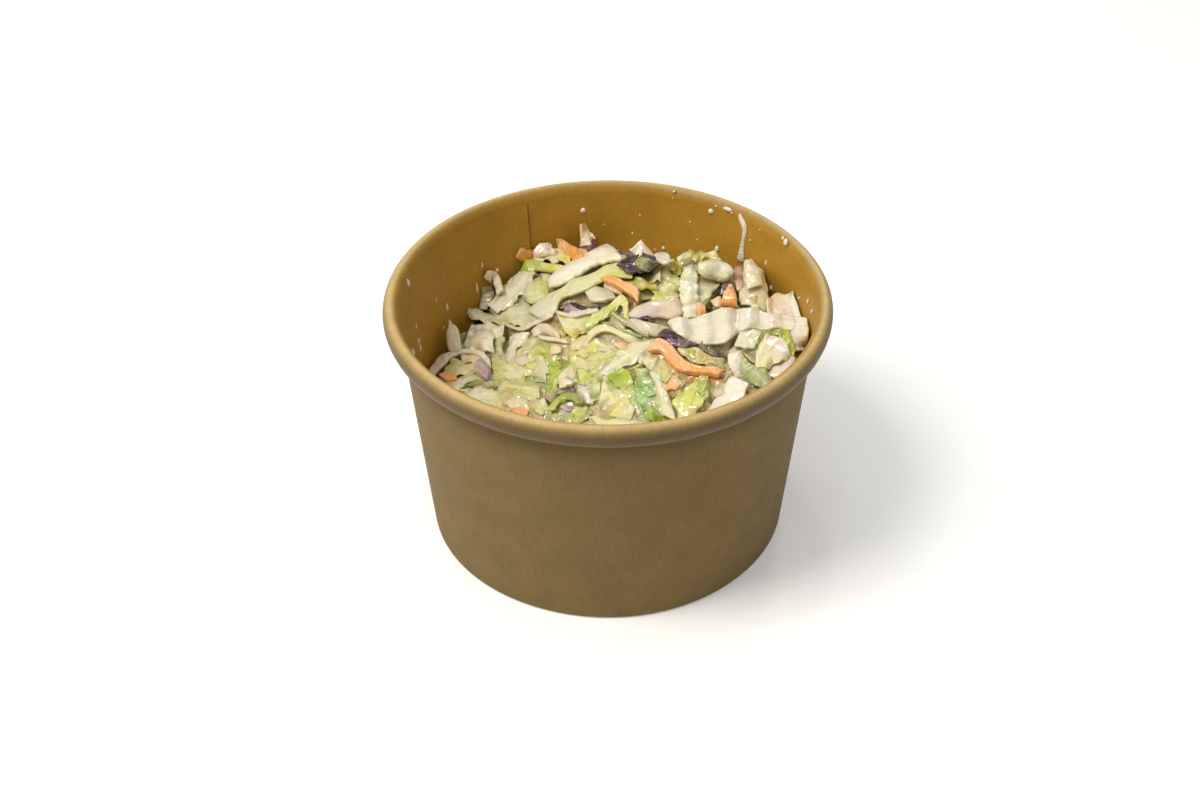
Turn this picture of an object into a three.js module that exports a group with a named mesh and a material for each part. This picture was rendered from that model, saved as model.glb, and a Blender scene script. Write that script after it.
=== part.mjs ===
// A squat paper cup of creamy coleslaw, in millimetres, +Z up.
// The cup is two pieces of board: a rolled wall, curled over at the rim and folded in at the foot,
// and a recessed base disc whose skirt stands in the fold. The coleslaw is one heaped solid.
// The origin is the centre of the circle that the cup stands on.
import * as THREE from "three";

// ---- driving dimensions ----
const RIM_DIAMETER = 115; // over the outside of the rolled rim
const FOOT_DIAMETER = 96.5;
const HEIGHT = 69.5;
const BOARD = 0.5; // thickness of the coated board
const ROLL_WIDTH = 4.2; // the rolled rim, across
const ROLL_HEIGHT = 5.6; // and from top to bottom
const ROLL_GAP = 0.5; // between the tucked edge and the wall
const BASE_LIFT = 6.6; // underside of the base disc above the table
const HEM_HEIGHT = 5.4; // how far the folded foot stands up inside
const FIT_GAP = 0.3; // clearance between pieces that touch in the real cup

// The side seam, where the ends of the wall blank lie over each other.
const SEAM_ANGLE = THREE.MathUtils.degToRad(115); // its edge on the inside
const SEAM_WIDTH = 9;
const SEAM_STEP = 0.4;
const SEAM_FADE = 3; // over this height the step dies away at the foot and under the roll
const SEAM_FOOT = 8; // where it starts above the fold

// The heap: a tilted level, a mound behind the middle and a hollow at the left.
const LEVEL = 47.5; // mean height of the salad at the wall
const SIDE_TILT = 0.1; // rise towards +X
const MOUND = { x: 6, y: 22, spread: 21, rise: 11 };
const HOLLOW = { x: -44, y: 18, spread: 16, rise: -8 };
const SALAD_GAP = 0.8; // clears the seam step as well as the wall
const SHRED_COUNT = 90;
const SHRED_SEED = 41;

// ---- how finely the round pieces are cut ----
const WALL_STEPS = 60;
const BASE_STEPS = 60;
const HEAP_CELLS = 40; // across the heap, each way
const ROLL_STEPS = 10;
const FOLD_STEPS = 3; // an odd number, so that the fold has a flat face to stand on

const kraft = new THREE.MeshStandardMaterial({ color: 0x8a6f45, roughness: 0.6, metalness: 0 });
const kraftBase = new THREE.MeshStandardMaterial({ color: 0x7d6440, roughness: 0.65, metalness: 0 });
const salad = new THREE.MeshStandardMaterial({ color: 0xd8d3ac, roughness: 0.35, metalness: 0 });

// ---- the sloping wall ----
const rimRadius = RIM_DIAMETER / 2;
const footRadius = (FOOT_DIAMETER - BOARD) / 2; // middle of the board at the foot
const rollRadiusX = (ROLL_WIDTH - BOARD) / 2;
const rollRadiusZ = (ROLL_HEIGHT - BOARD) / 2;
const rollCentre = new THREE.Vector2(
  rimRadius - BOARD / 2 - rollRadiusX,
  HEIGHT - BOARD / 2 - rollRadiusZ,
);
const wallTop = new THREE.Vector2(rollCentre.x - rollRadiusX, rollCentre.y);
const seamTop = rollCentre.y - 0.5;
const wallSlope = (wallTop.x - footRadius) / wallTop.y;

// Radius of the middle of the wall's board at a height.
function wallRadius(z) {
  return footRadius + wallSlope * z;
}

// Both faces of a strip of board that follows a centre line. Points are (radius, height).
function boardFaces(centreLine, leftThickness, rightThickness) {
  const left = [];
  const right = [];
  centreLine.forEach((point, i) => {
    const before = centreLine[Math.max(i - 1, 0)];
    const after = centreLine[Math.min(i + 1, centreLine.length - 1)];
    const along = after.clone().sub(before).normalize();
    const normal = new THREE.Vector2(-along.y, along.x);
    left.push(point.clone().addScaledVector(normal, leftThickness(point)));
    right.push(point.clone().addScaledVector(normal, -rightThickness(point)));
  });
  return { left, right };
}

// Height of the fold's middle that puts the lowest flat of its outer face on the table.
function foldHeight(foldRadius) {
  return (foldRadius + BOARD / 2) * Math.cos(Math.PI / 2 / FOLD_STEPS);
}

// The wall's centre line: down the folded hem, round the foot, up the wall and round the rim roll.
function wallCentreLine() {
  const foldWidth = 2 * FIT_GAP + 2 * BOARD;
  const foldRadius = foldWidth / 2;
  const foldCentreZ = foldHeight(foldRadius);
  const points = [new THREE.Vector2(wallRadius(HEM_HEIGHT) - foldWidth, HEM_HEIGHT)];
  for (let i = 0; i <= FOLD_STEPS; i++) {
    const angle = Math.PI + (Math.PI * i) / FOLD_STEPS;
    const middle = wallRadius(foldCentreZ) - foldRadius;
    points.push(
      new THREE.Vector2(
        middle + foldRadius * Math.cos(angle),
        foldCentreZ + foldRadius * Math.sin(angle),
      ),
    );
  }
  for (const z of [SEAM_FOOT, SEAM_FOOT + SEAM_FADE, seamTop - SEAM_FADE, seamTop]) {
    points.push(new THREE.Vector2(wallRadius(z), z));
  }
  const underWall = Math.acos(1 - (ROLL_GAP + BOARD) / rollRadiusX);
  const lastAngle = -Math.PI + underWall;
  for (let i = 0; i <= ROLL_STEPS; i++) {
    const angle = Math.PI + ((lastAngle - Math.PI) * i) / ROLL_STEPS;
    points.push(
      new THREE.Vector2(
        rollCentre.x + rollRadiusX * Math.cos(angle),
        rollCentre.y + rollRadiusZ * Math.sin(angle),
      ),
    );
  }
  return points;
}

// How much of the seam's step shows at a height.
function seamShare(z) {
  const { smoothstep } = THREE.MathUtils;
  const overFoot = smoothstep(z, SEAM_FOOT, SEAM_FOOT + SEAM_FADE);
  return overFoot * (1 - smoothstep(z, seamTop - SEAM_FADE, seamTop));
}

// A closed loop of (radius, height) points for each angle, joined into one ring-shaped solid.
function ringSolid(angles, loopAt) {
  const positions = [];
  const faces = [];
  const loops = angles.map(loopAt);
  const count = loops[0].length;
  angles.forEach((angle, i) => {
    for (const point of loops[i]) {
      positions.push(point.x * Math.cos(angle), point.x * Math.sin(angle), point.y);
    }
  });
  for (let i = 0; i < angles.length; i++) {
    const next = (i + 1) % angles.length;
    for (let j = 0; j < count; j++) {
      const k = (j + 1) % count;
      const [a, b, c, d] = [i * count + j, next * count + j, next * count + k, i * count + k];
      faces.push(a, b, c, a, c, d);
    }
  }
  return closedGeometry(positions, faces);
}

function closedGeometry(positions, faces) {
  const geometry = new THREE.BufferGeometry();
  geometry.setAttribute("position", new THREE.Float32BufferAttribute(positions, 3));
  geometry.setIndex(faces);
  geometry.computeVertexNormals();
  return geometry;
}

// Even steps round the cup, with a pair of close steps at each edge of the seam.
function wallAngles() {
  const edge = 0.15 / rimRadius;
  const seamEnd = SEAM_ANGLE + SEAM_WIDTH / rimRadius;
  const angles = [SEAM_ANGLE - edge, SEAM_ANGLE + edge, seamEnd - edge, seamEnd + edge];
  const turn = 2 * Math.PI;
  for (let i = 0; i < WALL_STEPS; i++) {
    const angle = (turn * i) / WALL_STEPS;
    if (angles.every((other) => Math.abs(other - angle) > turn / WALL_STEPS / 4)) {
      angles.push(angle);
    }
  }
  return angles.sort((a, b) => a - b);
}

function wallGeometry() {
  const centreLine = wallCentreLine();
  const seamTurn = SEAM_WIDTH / rimRadius;
  return ringSolid(wallAngles(), (angle) => {
    const across = (angle - SEAM_ANGLE) / seamTurn;
    const inSeam = across > 0 && across < 1;
    const inside = inSeam ? SEAM_STEP * (1 - across) : 0;
    const outside = inSeam ? SEAM_STEP * across : 0;
    const hemLeft = (point) => point.x < wallRadius(point.y) - BOARD;
    const share = (point) => (hemLeft(point) ? 0 : seamShare(point.y));
    const faces = boardFaces(
      centreLine,
      (point) => BOARD / 2 + inside * share(point),
      (point) => BOARD / 2 + outside * share(point),
    );
    return [...faces.right, ...faces.left.reverse()];
  });
}

// The base disc with its turned-down skirt.
function baseGeometry() {
  const skirtRadius = (z) => wallRadius(z) - BOARD - FIT_GAP;
  const corner = 1.2; // bend between the disc and the skirt
  const skirtFoot = BOARD + FIT_GAP + 0.4;
  const discZ = BASE_LIFT + BOARD / 2;
  const centreLine = [new THREE.Vector2(skirtRadius(skirtFoot), skirtFoot)];
  for (let i = 0; i <= FOLD_STEPS; i++) {
    const angle = ((Math.PI / 2) * i) / FOLD_STEPS;
    const x = skirtRadius(discZ) - corner + corner * Math.cos(angle);
    centreLine.push(new THREE.Vector2(x, discZ - corner + corner * Math.sin(angle)));
  }
  centreLine.push(new THREE.Vector2(0, discZ));
  const half = () => BOARD / 2;
  const { left, right } = boardFaces(centreLine, half, half);
  // The last point of each face is on the axis, so that the turned solid closes there.
  left[left.length - 1].x = 0;
  right[right.length - 1].x = 0;
  const profile = [...left.reverse(), ...right];
  const geometry = new THREE.LatheGeometry(profile, BASE_STEPS);
  return geometry.rotateX(Math.PI / 2); // LatheGeometry turns about +Y
}

// ---- the heap of coleslaw ----

// A small seeded generator, so that the heap is the same each time.
function seededRandom(seed) {
  let state = seed;
  return () => {
    state = (state * 1664525 + 1013904223) % 4294967296;
    return state / 4294967296;
  };
}

function hump(x, y, { x: centreX, y: centreY, spread, rise }) {
  const square = (x - centreX) ** 2 + (y - centreY) ** 2;
  return rise * Math.exp(-square / (2 * spread ** 2));
}

function smoothHeap(x, y) {
  return LEVEL + SIDE_TILT * x + hump(x, y, MOUND) + hump(x, y, HOLLOW);
}

// Shreds on the surface: curved ribbons, each a rounded ridge.
function layShreds() {
  const random = seededRandom(SHRED_SEED);
  const between = (low, high) => low + (high - low) * random();
  const shreds = [];
  for (let i = 0; i < SHRED_COUNT; i++) {
    const away = rimRadius * Math.sqrt(random());
    const around = between(0, 2 * Math.PI);
    shreds.push({
      x: away * Math.cos(around),
      y: away * Math.sin(around),
      heading: between(0, Math.PI),
      bend: between(-0.02, 0.02),
      halfLength: between(9, 20),
      halfWidth: between(3.5, 6),
      rise: between(1.5, 4.5),
    });
  }
  return shreds;
}

// Height that one shred adds at a point.
function shredRise(x, y, shred) {
  const [dx, dy] = [x - shred.x, y - shred.y];
  const along = dx * Math.cos(shred.heading) + dy * Math.sin(shred.heading);
  const off = -dx * Math.sin(shred.heading) + dy * Math.cos(shred.heading);
  const across = (off - shred.bend * along ** 2) / shred.halfWidth;
  const end = along / shred.halfLength;
  if (Math.abs(across) >= 1 || Math.abs(end) >= 1) return 0;
  return shred.rise * (1 - across ** 2) * (1 - end ** 4);
}

// A square's point moved to a disc of radius 1, so that the heap's cells are all about as large.
function squareToDisc(u, v) {
  if (u === 0 && v === 0) return [0, 0];
  const flat = Math.abs(u) > Math.abs(v);
  const radius = flat ? u : v;
  const angle = flat ? ((Math.PI / 4) * v) / u : Math.PI / 2 - ((Math.PI / 4) * u) / v;
  return [radius * Math.cos(angle), radius * Math.sin(angle)];
}

function heapGeometry() {
  const shreds = layShreds();
  const bottom = BASE_LIFT + BOARD + FIT_GAP;
  const insideRadius = (z) => wallRadius(z) - BOARD / 2 - SALAD_GAP;
  const relief = (x, y) => shreds.reduce((most, s) => Math.max(most, shredRise(x, y, s)), 0);
  const positions = [];
  const faces = [];
  const row = HEAP_CELLS + 1;
  for (let j = 0; j < row; j++) {
    for (let i = 0; i < row; i++) {
      const disc = squareToDisc((2 * i) / HEAP_CELLS - 1, (2 * j) / HEAP_CELLS - 1);
      const [x, y] = disc.map((d) => d * insideRadius(LEVEL));
      const z = smoothHeap(x, y) + relief(x, y);
      positions.push(disc[0] * insideRadius(z), disc[1] * insideRadius(z), z);
    }
  }
  for (let j = 0; j < HEAP_CELLS; j++) {
    for (let i = 0; i < HEAP_CELLS; i++) {
      const a = j * row + i;
      const [b, c, d] = [a + 1, a + 1 + row, a + row];
      // The diagonal of a cell points away from the middle of the heap.
      const half = HEAP_CELLS / 2;
      if (i < half === j < half) faces.push(a, b, c, a, c, d);
      else faces.push(a, b, d, b, c, d);
    }
  }

  // The edge of the heap, in order round it, then the side down to the bottom.
  const edge = [];
  for (let i = 0; i < HEAP_CELLS; i++) edge.push(i);
  for (let j = 0; j < HEAP_CELLS; j++) edge.push(j * row + HEAP_CELLS);
  for (let i = HEAP_CELLS; i > 0; i--) edge.push(HEAP_CELLS * row + i);
  for (let j = HEAP_CELLS; j > 0; j--) edge.push(j * row);
  const low = positions.length / 3;
  for (const top of edge) {
    const angle = Math.atan2(positions[3 * top + 1], positions[3 * top]);
    const radius = insideRadius(bottom);
    positions.push(radius * Math.cos(angle), radius * Math.sin(angle), bottom);
  }
  const lowCentre = positions.length / 3;
  positions.push(0, 0, bottom);
  edge.forEach((top, i) => {
    const next = (i + 1) % edge.length;
    faces.push(top, low + i, low + next, top, low + next, edge[next]);
    faces.push(lowCentre, low + next, low + i);
  });
  return closedGeometry(positions, faces);
}

function addPiece(group, name, geometry, material) {
  const mesh = new THREE.Mesh(geometry, material);
  mesh.name = name;
  group.add(mesh);
}

const cupOfColeslaw = new THREE.Group();
addPiece(cupOfColeslaw, "cup_wall", wallGeometry(), kraft);
addPiece(cupOfColeslaw, "cup_base", baseGeometry(), kraftBase);
addPiece(cupOfColeslaw, "coleslaw", heapGeometry(), salad);

export default cupOfColeslaw;
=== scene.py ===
"""Creamy coleslaw in a kraft paper cup, laid out as a Blender add-on and run as a script.

Sizes are in millimetres until a mesh is made. +Z is up, the cup stands on the origin, and the viewer is
at -Y.
"""

import math

import bpy
import numpy as np
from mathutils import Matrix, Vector


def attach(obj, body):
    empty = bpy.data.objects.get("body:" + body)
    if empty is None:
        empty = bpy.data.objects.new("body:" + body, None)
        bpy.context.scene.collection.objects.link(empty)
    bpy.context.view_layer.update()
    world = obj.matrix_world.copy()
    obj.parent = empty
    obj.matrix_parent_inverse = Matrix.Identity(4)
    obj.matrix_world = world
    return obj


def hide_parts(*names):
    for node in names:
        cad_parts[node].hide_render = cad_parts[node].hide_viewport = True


bl_info = {
    "name": "Coleslaw Cup",
    "version": (1, 0, 0),
    "blender": (4, 5, 0),
    "location": "View3D > Sidebar > Coleslaw",
    "description": "Builds a paper cup of creamy coleslaw, shred by shred",
    "category": "Add Mesh",
}

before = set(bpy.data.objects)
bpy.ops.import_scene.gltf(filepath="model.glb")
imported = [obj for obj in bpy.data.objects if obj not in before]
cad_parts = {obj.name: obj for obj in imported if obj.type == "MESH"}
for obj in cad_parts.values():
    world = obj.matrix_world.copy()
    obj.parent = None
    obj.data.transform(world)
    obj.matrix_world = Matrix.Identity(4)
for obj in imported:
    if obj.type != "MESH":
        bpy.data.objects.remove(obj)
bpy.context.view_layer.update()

MM = 0.001


def srgb(code):
    """Linear red, green and blue of an sRGB hex colour."""
    parts = [int(code[i : i + 2], 16) / 255 for i in (0, 2, 4)]
    return tuple(c / 12.92 if c <= 0.04045 else ((c + 0.055) / 1.055) ** 2.4 for c in parts)


# Colours of the shreds, each the colour of the washed vegetable under studio light.
TINTS = {
    "white": "F0E8DA",
    "ivory": "EBE1BC",
    "cream": "E2D4A0",
    "pink": "E9D0B8",
    "lilac": "DFCEC4",
    "rose": "CC968C",
    "mauve": "916488",
    "purple": "581A4A",
    "wine": "3A0A26",
    "ice": "E2E1C6",
    "pear": "D0CA80",
    "pale": "DBDB86",
    "lime": "BDCA48",
    "yellow": "E6D970",
    "mustard": "BFA43A",
    "green": "9DB632",
    "leaf": "84A84A",
    "mint": "A2C97C",
    "sage": "B6BA88",
    "olive": "80851A",
    "moss": "525622",
    "carrot": "F4A044",
    "coral": "FABC84",
    "peach": "F2CDA4",
    "grey": "C6B998",
    "taupe": "AA8E72",
}


# ---- the cup's section, as the CAD wall has it ----

BOARD = 0.5  # thickness of the board
RIM_RADIUS = 57.5  # over the outside of the roll
FOOT_RADIUS = 48.0  # to the middle of the board
HEIGHT = 69.5
# Half the width and half the height of the oval roll, to the middle of its board.
ROLL_X, ROLL_Z = 1.85, 2.55
ROLL_CENTRE = (RIM_RADIUS - BOARD / 2 - ROLL_X, HEIGHT - BOARD / 2 - ROLL_Z)
WALL_SLOPE = (ROLL_CENTRE[0] - ROLL_X - FOOT_RADIUS) / ROLL_CENTRE[1]
FOLD = 0.8  # radius of the wall's fold at the foot
HEM_TOP, ABOVE_HEM = 5.4, 6.0  # height of the hem tucked up inside the foot, and a height clear of it
ROLL_FROM = 60.0  # height from which board can be part of the roll
BASE_LIFT = 6.6  # from the ground to the underside of the base
BASE_CORNER = 1.2  # radius at which the base turns down into its skirt
# The inner and the outer edge of the lapped seam, in degrees round the cup, and how far they stand proud.
SEAM_INNER, SEAM_OUTER = 115.0, 124.0
SEAM_STEP = 0.4
# The heights at which the seam's steps have run out, and over how many mm they do.
SEAM_FOOT, SEAM_TOP, SEAM_RUN_OUT = 8.0, 66.4, 3.0


def wall_radius(z):
    """Radius of the middle of the wall's board at a height."""
    return FOOT_RADIUS + WALL_SLOPE * z


def inner_radius(z):
    """Radius of the wall's inner face at a height."""
    return wall_radius(z) - BOARD / 2


# ---- the heap without its shreds, as the CAD heap has it: a tilted level, a mound and a hollow ----

HEAP_LEVEL, HEAP_TILT = 47.5, 0.1
HEAP_HUMPS = ((6, 22, 21, 11), (-44, 18, 16, -8))  # x, y, spread and rise


def smooth_heap(x, y):
    """Height of the smooth heap."""
    height = HEAP_LEVEL + HEAP_TILT * x
    for middle_x, middle_y, spread, rise in HEAP_HUMPS:
        height = height + rise * np.exp(-((x - middle_x) ** 2 + (y - middle_y) ** 2) / (2 * spread**2))
    return height


# ---- the camera, which also says where the top shreds lie ----

VIEW_WIDTH, VIEW_HEIGHT = 1200, 800
CAMERA_PLACE = np.array((0.0, -352.1, 307.2))
CAMERA_AIM = np.array((0.0, 0.0, 34.75))
FOCAL_PIXELS = 1656.7
AIM_SPOT = (607.7, 398.3)  # where in the view the aim shows
SENSOR_WIDTH = 36.0
AHEAD = (CAMERA_AIM - CAMERA_PLACE) / np.linalg.norm(CAMERA_AIM - CAMERA_PLACE)
RIGHTWARD = np.array((1.0, 0.0, 0.0))
UPWARD = np.cross(RIGHTWARD, AHEAD)

OUT_OF_CUP = 99.0  # stands for a height over the heap where a line of sight isn't in the cup


def sight_line(u, v):
    """Direction from the camera through a spot of its view."""
    line = AHEAD + RIGHTWARD * (u - AIM_SPOT[0]) / FOCAL_PIXELS
    line = line - UPWARD * (v - AIM_SPOT[1]) / FOCAL_PIXELS
    return line / np.linalg.norm(line)


def spot_on_wall(u, v):
    """The point of the cup's inner wall that shows at a spot of the view."""
    away = np.arange(330.0, 600.0, 0.1)
    points = CAMERA_PLACE + away[:, None] * sight_line(u, v)
    outside = np.hypot(points[:, 0], points[:, 1]) > inner_radius(points[:, 2])
    entered = np.nonzero(~outside & (points[:, 2] < HEIGHT))[0][0]
    left = np.nonzero(outside[entered:])[0][0]
    return points[entered + left]


def spot_on_heap(u, v, lift):
    """The point of the smooth heap, or lift above it, that shows at a spot of the view."""
    away = np.arange(340.0, 560.0, 0.4)
    points = CAMERA_PLACE + away[:, None] * sight_line(u, v)
    above = points[:, 2] - smooth_heap(points[:, 0], points[:, 1]) - lift
    above[np.hypot(points[:, 0], points[:, 1]) > inner_radius(points[:, 2]) - 0.6] = OUT_OF_CUP
    below = np.nonzero(above <= 0)[0]
    if not len(below):
        return points[int(np.argmin(above))]
    here, before = below[0], below[0] - 1
    if here > 0 and above[before] < OUT_OF_CUP:
        return points[here] - (points[here] - points[before]) * above[here] / (above[here] - above[before])
    return points[here]


# ---- curves and grids ----

GRID = 0.4  # step of the grids over the cup
REACH = 55.0  # of those grids, from the middle of the cup
STATIONS = 41  # along each shred's middle line


def unit(vectors):
    """Vectors made one long."""
    return vectors / np.maximum(np.linalg.norm(vectors, axis=-1, keepdims=True), 1e-9)


def soften(values, spread):
    """A grid or a list blurred over a number of its own steps."""
    reach = int(math.ceil(spread * 2.5))
    taps = np.exp(-0.5 * (np.arange(-reach, reach + 1) / spread) ** 2)
    taps /= taps.sum()
    for axis in range(values.ndim):
        padding = [(reach, reach) if a == axis else (0, 0) for a in range(values.ndim)]
        padded = np.pad(values, padding, mode="edge")
        places = np.arange(values.shape[axis])
        values = sum(tap * np.take(padded, places + k, axis=axis) for k, tap in enumerate(taps))
    return values


def read_grid(grid, x, y):
    """Values of a grid over the cup, at places between its points."""
    i = np.clip((np.asarray(x) + REACH) / GRID, 0, len(grid) - 1.001)
    j = np.clip((np.asarray(y) + REACH) / GRID, 0, len(grid) - 1.001)
    a, b = i.astype(int), j.astype(int)
    s, t = i - a, j - b
    low = grid[a, b] * (1 - t) + grid[a, b + 1] * t
    high = grid[a + 1, b] * (1 - t) + grid[a + 1, b + 1] * t
    return low * (1 - s) + high * s


def read_rows(rows, at):
    """Values at places between the stations, from rows that hold one value or vector for each station."""
    low = np.floor(at).astype(int).clip(0, STATIONS - 2)
    part = (at - low)[:, None]
    return rows[low] * (1 - part) + rows[low + 1] * part


def smooth_path(points, count):
    """Evenly spaced points on a smooth curve through the given ones."""
    points = np.asarray(points, float)
    ends = np.vstack([2 * points[0] - points[1], points, 2 * points[-1] - points[-2]])
    curve = []
    for k in range(len(points) - 1):
        a, b, c, d = ends[k : k + 4]
        for t in np.linspace(0, 1, 16, endpoint=False):
            bend = 2 * b + (c - a) * t + (2 * a - 5 * b + 4 * c - d) * t**2
            curve.append(0.5 * (bend + (3 * b - a - 3 * c + d) * t**3))
    curve = np.array([*curve, points[-1]])
    run = np.r_[0, np.cumsum(np.linalg.norm(np.diff(curve[:, :2], axis=0), axis=1) + 1e-6)]
    places = np.linspace(0, run[-1], count)
    return np.stack([np.interp(places, run, column) for column in curve.T], axis=1)


def curved_plan(middle, heading, length, bend):
    """The plan of a shred that lies evenly curved about its middle."""
    along = np.linspace(-0.5, 0.5, STATIONS) * length
    angle = heading + bend * along
    steps = np.column_stack([np.cos(angle), np.sin(angle)]) * (along[1] - along[0])
    plan = np.cumsum(steps, axis=0)
    return plan - plan.mean(axis=0) + middle


# ---- the pile ----

# How each kind of shred is formed: how deep it is crumpled and its edges are ruffled in mm, how much thinner
# and how ragged its edges are, as shares of its thickness and half its width, and over how many mm it stays
# stiff.
KINDS = {
    "rib": dict(crumple=0.11, ruffle=0.1, thin=0.25, fray=0.04, stiff=5.0),
    "leaf": dict(crumple=0.32, ruffle=0.5, thin=0.5, fray=0.12, stiff=3.0),
    "carrot": dict(crumple=0.1, ruffle=0.0, thin=0.1, fray=0.05, stiff=7.0),
    "red": dict(crumple=0.14, ruffle=0.15, thin=0.2, fray=0.08, stiff=4.0),
    "green": dict(crumple=0.3, ruffle=0.4, thin=0.4, fray=0.12, stiff=3.0),
}

# The shape of a shred that is laid with no other: roll and twist in degrees, crown as a share of half its
# width, the share of its width that its two ends keep, a wave and its pitch in mm, the tint of its edges, and
# how much more than its kind it is crumpled.
PLAIN = dict(roll=0.0, twist=0.0, crown=0.0, taper=(1.0, 1.0), wave=0.0, pitch=9.0, edge=None, crumple=1.0)

HUG = 0.6  # how a shred lies on those below it: 0 is on the highest, 1 sinks in to their mean height
MOST_TILT = 0.32  # of a shred from edge to edge, as a share of its width

# The random shreds, buried and spread over the top: the share of each kind, and the tints its ends may have.
BURIED_MIX = {
    "rib": (5, ("ivory", "white", "pale", "cream")),
    "leaf": (5, ("pale", "ice", "lime", "cream")),
    "carrot": (1.4, ("carrot", "coral")),
    "red": (0.8, ("purple", "wine", "mauve")),
    "green": (1, ("moss", "olive", "leaf")),
}
SPREAD_MIX = {
    "rib": (6, ("ivory", "white", "pink", "ice", "lilac")),
    "leaf": (6, ("pale", "ice", "lime", "cream", "ivory")),
    "carrot": (1.3, ("carrot", "coral", "peach")),
    "red": (0.5, ("purple", "mauve")),
    "green": (1, ("olive", "green", "sage")),
}
# How wide and how thick the kinds are that are cut narrower than the others.
NARROW_CUTS = {"carrot": ((2.2, 3.2), (1.4, 2.0)), "red": ((2.0, 3.4), (0.9, 1.4))}
SCATTER_REACH = 50.0  # how far out the middle of a random shred may lie


class Heights:
    """Heights of the pile so far and its colours, on a square grid over the cup."""

    def __init__(self, sink):
        ticks = np.arange(-REACH, REACH + GRID / 2, GRID)
        self.x, self.y = np.meshgrid(ticks, ticks, indexing="ij")
        self.z = smooth_heap(self.x, self.y) - sink
        self.tint = np.zeros((*self.z.shape, 3)) + srgb(TINTS["cream"])

    def cover(self, points, tints):
        """Raises the grid to a shred's upper face, and colours it."""
        points, tints = points.reshape(-1, 3), tints.reshape(-1, 3)
        upward = np.argsort(points[:, 2], kind="stable")
        points, tints = points[upward], tints[upward]
        i, j = np.rint((points[:, :2] + REACH) / GRID).astype(int).T
        kept = (i >= 0) & (j >= 0) & (i < len(self.z)) & (j < len(self.z))
        i, j, points, tints = i[kept], j[kept], points[kept], tints[kept]
        higher = points[:, 2] > self.z[i, j]
        i, j = i[higher], j[higher]
        self.z[i, j] = points[higher, 2]
        self.tint[i, j] = tints[higher]


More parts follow.
